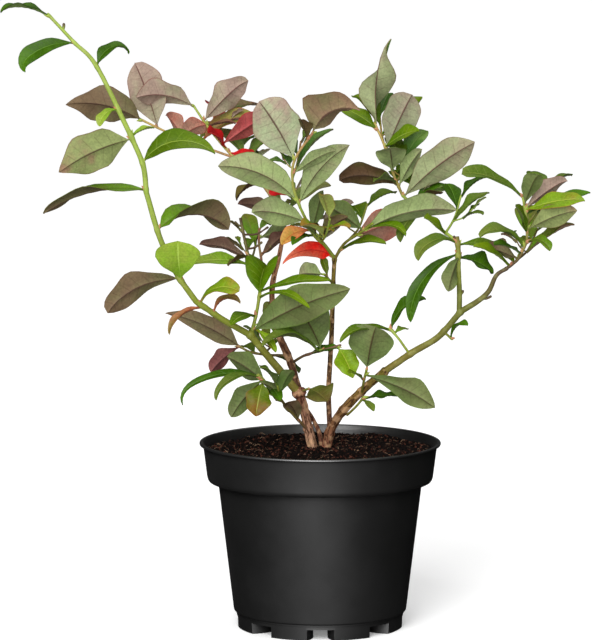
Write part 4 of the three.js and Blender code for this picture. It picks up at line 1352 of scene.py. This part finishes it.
def draw_up(name, sides, outline_points):
    """A filled circle at the first of a list of radii and heights, extruded through the others. It is
    left in edit mode with its last face selected."""
    (radius, height), *onward = outline_points
    bpy.ops.object.select_all(action="DESELECT")
    bpy.ops.mesh.primitive_circle_add(vertices=sides, radius=radius * MM, fill_type="NGON",
                                      location=(0, 0, height * MM))
    piece = bpy.context.object
    piece.name = piece.data.name = name
    bpy.ops.object.transform_apply(location=True, rotation=True, scale=True)
    bpy.ops.object.mode_set(mode="EDIT")
    bpy.ops.mesh.select_all(action="SELECT")
    for next_radius, next_height in onward:
        rise = (0, 0, (next_height - height) * MM)
        bpy.ops.mesh.extrude_region_move(TRANSFORM_OT_translate={"value": rise})
        scale = next_radius / radius
        bpy.ops.transform.resize(value=(scale, scale, 1), center_override=(0, 0, next_height * MM))
        radius, height = next_radius, next_height
    return piece


def close_up():
    """Leaves edit mode with the mesh's doubles merged and its faces pointing outwards."""
    bpy.ops.mesh.select_all(action="SELECT")
    bpy.ops.mesh.remove_doubles(threshold=1e-6)
    bpy.ops.mesh.normals_make_consistent(inside=False)
    bpy.ops.object.mode_set(mode="OBJECT")


def rounded(corners):
    """Radii and heights of an outline whose corners, given with their own radius, are eased round."""
    points = []
    for k, (radius, height, ease) in enumerate(corners):
        here = np.array([radius, height], float)
        if not ease or k in (0, len(corners) - 1):
            points.append(tuple(here))
            continue
        before = unit(np.array(corners[k - 1][:2], float) - here) * ease
        after = unit(np.array(corners[k + 1][:2], float) - here) * ease
        for t in (0, 0.25, 0.5, 0.75, 1):
            points.append(tuple(here + before * (1 - t) ** 2 + after * t ** 2))
    return points


def channel_cutter(angle):
    """A bar that opens out towards the pot's foot, drawn outwards from the middle of the base."""
    bpy.ops.object.select_all(action="DESELECT")
    x, width, height = CUTTER_START, CHANNEL_WIDTH, CHANNEL_HEIGHT + CUTTER_BELOW
    bpy.ops.mesh.primitive_plane_add(size=1, rotation=(0, math.radians(90), 0),
                                     location=(x * MM, 0, (height / 2 - CUTTER_BELOW) * MM))
    cutter = bpy.context.object
    cutter.scale = (height * MM, width * MM, 1)
    bpy.ops.object.transform_apply(location=True, rotation=True, scale=True)
    bpy.ops.object.mode_set(mode="EDIT")
    bpy.ops.mesh.select_all(action="SELECT")
    flare = FOOT_RADIUS + CUTTER_BEYOND - CHANNEL_FLARE
    for t in (0, 0.2, 0.4, 0.6, 0.8, 1):
        next_x = CHANNEL_FLARE + flare * t
        next_width = CHANNEL_WIDTH + (CHANNEL_MOUTH - CHANNEL_WIDTH) * t ** 2
        move = ((next_x - x) * MM, 0, 0)
        bpy.ops.mesh.extrude_region_move(TRANSFORM_OT_translate={"value": move})
        bpy.ops.transform.resize(value=(1, next_width / width, 1))
        x, width = next_x, next_width
    close_up()
    cutter.rotation_euler.z = angle
    bpy.ops.object.transform_apply(location=True, rotation=True, scale=True)
    return cutter


def apply_modifier(piece, kind, **settings):
    bpy.context.view_layer.objects.active = piece
    modifier = piece.modifiers.new(kind.lower(), kind)
    for name, value in settings.items():
        setattr(modifier, name, value)
    bpy.ops.object.modifier_apply(modifier=modifier.name)


def pot_corners():
    """The pot's outline from its underside over the lip to its inner base: radius, height, rounding."""
    return [
        (FOOT_RADIUS - 1, 0, 0),
        (FOOT_RADIUS - 0.4, 0, 0.5),
        (FOOT_RADIUS, FOOT_HEIGHT, 0.4),
        (BODY_FOOT_RADIUS, FOOT_HEIGHT + 0.5, 0.9),
        (BODY_TOP_RADIUS, BODY_TOP, 0.8),
        (BAND_FOOT_RADIUS - 1.2, BODY_TOP + 0.1, 1.6),
        (BAND_FOOT_RADIUS, BAND_FOOT, 1.8),
        (BAND_TOP_RADIUS, POT_HEIGHT - LIP_DEPTH, 0.5),
        (LIP_RADIUS, POT_HEIGHT - LIP_DEPTH, 0.7),
        (LIP_RADIUS, POT_HEIGHT, 0.9),
        (LIP_RADIUS - LIP_WIDTH, POT_HEIGHT, 0.8),
        (BAND_TOP_RADIUS - WALL, POT_HEIGHT - LIP_DEPTH - 1.5, 1),
        (BAND_FOOT_RADIUS - WALL, BAND_FOOT + WALL, 0),
        (BODY_TOP_RADIUS - WALL, BODY_TOP + WALL, 0),
        (BODY_FOOT_RADIUS - WALL, BASE_THICK, 0),
    ]


def add_pot():
    pot = draw_up("nursery_pot", POT_SIDES, rounded(pot_corners()))
    close_up()
    for k in range(CHANNELS):
        cutter = channel_cutter(k * 2 * math.pi / CHANNELS)
        apply_modifier(pot, "BOOLEAN", operation="DIFFERENCE", object=cutter, solver="EXACT")
        bpy.data.objects.remove(cutter)
    pot.data.materials.append(new_material(
        "satin_black_plastic", plastic_skin(),
        {"Shell": (0.003, 0.003, 0.003, 1), "Scuff": (0.006, 0.006, 0.006, 1)},
        specular=1, bump=0.2, depth=0.08 * MM, ior=1.8))
    smooth(pot, 32)
    keep(pot, "pot", "pot")


# ---- Soil ----


def soil_height(x, y):
    """The height of the peat at a place, in millimetres: level round the stems with a slight dip at
    their feet, lower at the edge, with low mounds and clods."""
    radius = math.hypot(x, y)
    fall = (SOIL_TOP - SOIL_EDGE) * min(max((radius - LEVEL_RADIUS) / (SOIL_RADIUS - LEVEL_RADIUS), 0), 1)
    mounds = MOUND_HEIGHT * noise.noise(Vector((x / 30 + 3.1, y / 30, 0)))
    mounds += MOUND_HEIGHT * math.exp(-((x - MOUND[0]) ** 2 + (y - MOUND[1]) ** 2) / 500)
    clods = 1.3 * noise.noise(Vector((x / 6, y / 6, 5))) + 0.8 * noise.noise(Vector((x / 2.4, y / 2.4, 9)))
    calm = min(1, max(0, (radius - 6) / 14))
    return SOIL_TOP - fall + (mounds + clods) * calm - 0.6 + 0.4 * calm


def add_soil_bed(material):
    """The peat that fills the pot, with a top of rings whose points are set to the soil's height."""
    inside = WALL + SOIL_GAP
    bed = draw_up("soil_bed", BED_SIDES, [
        (BODY_FOOT_RADIUS - inside - LEDGE_GAP, BASE_THICK + LEDGE_GAP),
        (BODY_TOP_RADIUS - inside, BODY_TOP + WALL),
        (BAND_FOOT_RADIUS - inside, BAND_FOOT + WALL + LEDGE_GAP),
        (SOIL_RADIUS, SOIL_EDGE),
    ])
    for _ in range(BED_RINGS):
        bpy.ops.mesh.inset(thickness=RING_WIDTH * MM)
    close_up()
    for point in bed.data.vertices:
        x, y = point.co.x / MM, point.co.y / MM
        if point.co.z / MM > SOIL_EDGE - 0.5:
            point.co.z = soil_height(x, y) * MM
    bed.data.materials.append(material)
    smooth(bed, 70)
    keep(bed, "soil", "potting_soil")


def soil_spot(dice):
    """A place on the peat, evenly spread, a little in from the pot's wall."""
    radius, angle = (SOIL_RADIUS - 2.5) * math.sqrt(dice()), 2 * math.pi * dice()
    x, y = radius * math.cos(angle), radius * math.sin(angle)
    return np.array([x, y, soil_height(x, y)])


def rotation(angle, first, second):
    """The matrix of a turn from the first axis towards the second, by their numbers."""
    matrix = np.eye(3)
    matrix[first, first] = matrix[second, second] = math.cos(angle)
    matrix[second, first], matrix[first, second] = math.sin(angle), -math.sin(angle)
    return matrix


def add_crumbs(materials):
    """Crumbs of peat, each a small uneven stone of eight faces."""
    dice = make_dice(CRUMB_SEED)
    octahedron = np.array([[1, 0, 0], [0, 1, 0], [-1, 0, 0], [0, -1, 0], [0, 0, 1], [0, 0, -1]], float)
    faces = [(0, 1, 4), (1, 2, 4), (2, 3, 4), (3, 0, 4), (1, 0, 5), (2, 1, 5), (3, 2, 5), (0, 3, 5)]
    heap = Heap()
    for _ in range(CRUMBS):
        spot, size = soil_spot(dice), CRUMB_SIZES[0] + CRUMB_SIZES[1] * dice() ** 2
        uneven = octahedron * np.array([[0.6 + 0.8 * dice() for _ in range(3)] for _ in range(6)]) * size
        lean, turn = dice() * 1.2, 2 * math.pi * dice()
        turned = uneven @ rotation(lean, 1, 2).T @ rotation(turn, 0, 1).T
        points = turned + spot + [0, 0, size * 0.25]
        kind = int(dice() * len(materials))
        heap.add(Patch(points, faces, np.zeros((24, 2)) + [dice(), dice()], [kind] * 8, {}))
    piece = heap.build("soil_crumbs", materials, 25)
    piece.data.uv_layers.remove(piece.data.uv_layers["OFBake"])
    keep(piece, "soil", "potting_soil")


def add_fibres(material):
    """Pale fibres that lie in loose curls on the peat."""
    dice = make_dice(FIBRE_SEED)
    heap = Heap()
    for k in range(FIBRES):
        spot, turn = soil_spot(dice), 360 * dice()
        length = FIBRE_LENGTHS[0] + FIBRE_LENGTHS[1] * dice() ** 2
        bend = 120 * (dice() - 0.5)
        middle = spot + direction(turn, 18 * dice()) * length / 2 + [0, 0, 0.7]
        end = middle + direction(turn + bend, -25 * dice()) * length / 2
        radius = FIBRE_RADII[0] + FIBRE_RADII[1] * dice()
        colour = np.array(TAN) * (0.07 + 0.7 * dice() ** 3)
        heap.add(stem(Route([spot, middle, end]), (radius, radius * 0.7), sides=4, spacing=1.2,
                      colours=(colour, colour), bark=0, seed=k, column=k, columns=FIBRES))
    piece = heap.build("soil_fibres", [material], 60)
    keep(piece, "soil", "potting_soil")


def add_soil(bark):
    skin = soil_skin()
    tones = {"dark_peat": (0x070403, 0x180C09), "brown_peat": (0x150B08, 0x2C1812),
             "red_peat": (0x2A150E, 0x563126)}
    crumbs = [new_material(name, skin, {"Peat": opaque(peat), "Crumb": opaque(crumb)}, specular=0.1,
                           bump=0.8, depth=0.5 * MM) for name, (peat, crumb) in tones.items()]
    add_soil_bed(crumbs[0])
    add_crumbs([crumbs[0], crumbs[1], crumbs[0], crumbs[2]])
    fibre = {"Streaks": 0.4, "Dark": opaque(0x6A4A34), "Pale": opaque(0xE0C8A0)}
    add_fibres(new_material("peat_fibre", bark, fibre, specular=0.2))


def main():
    bark = bark_skin()
    add_camera()
    add_studio()
    add_floor()
    add_pot()
    add_soil(bark)
    add_plant(bark)


main()
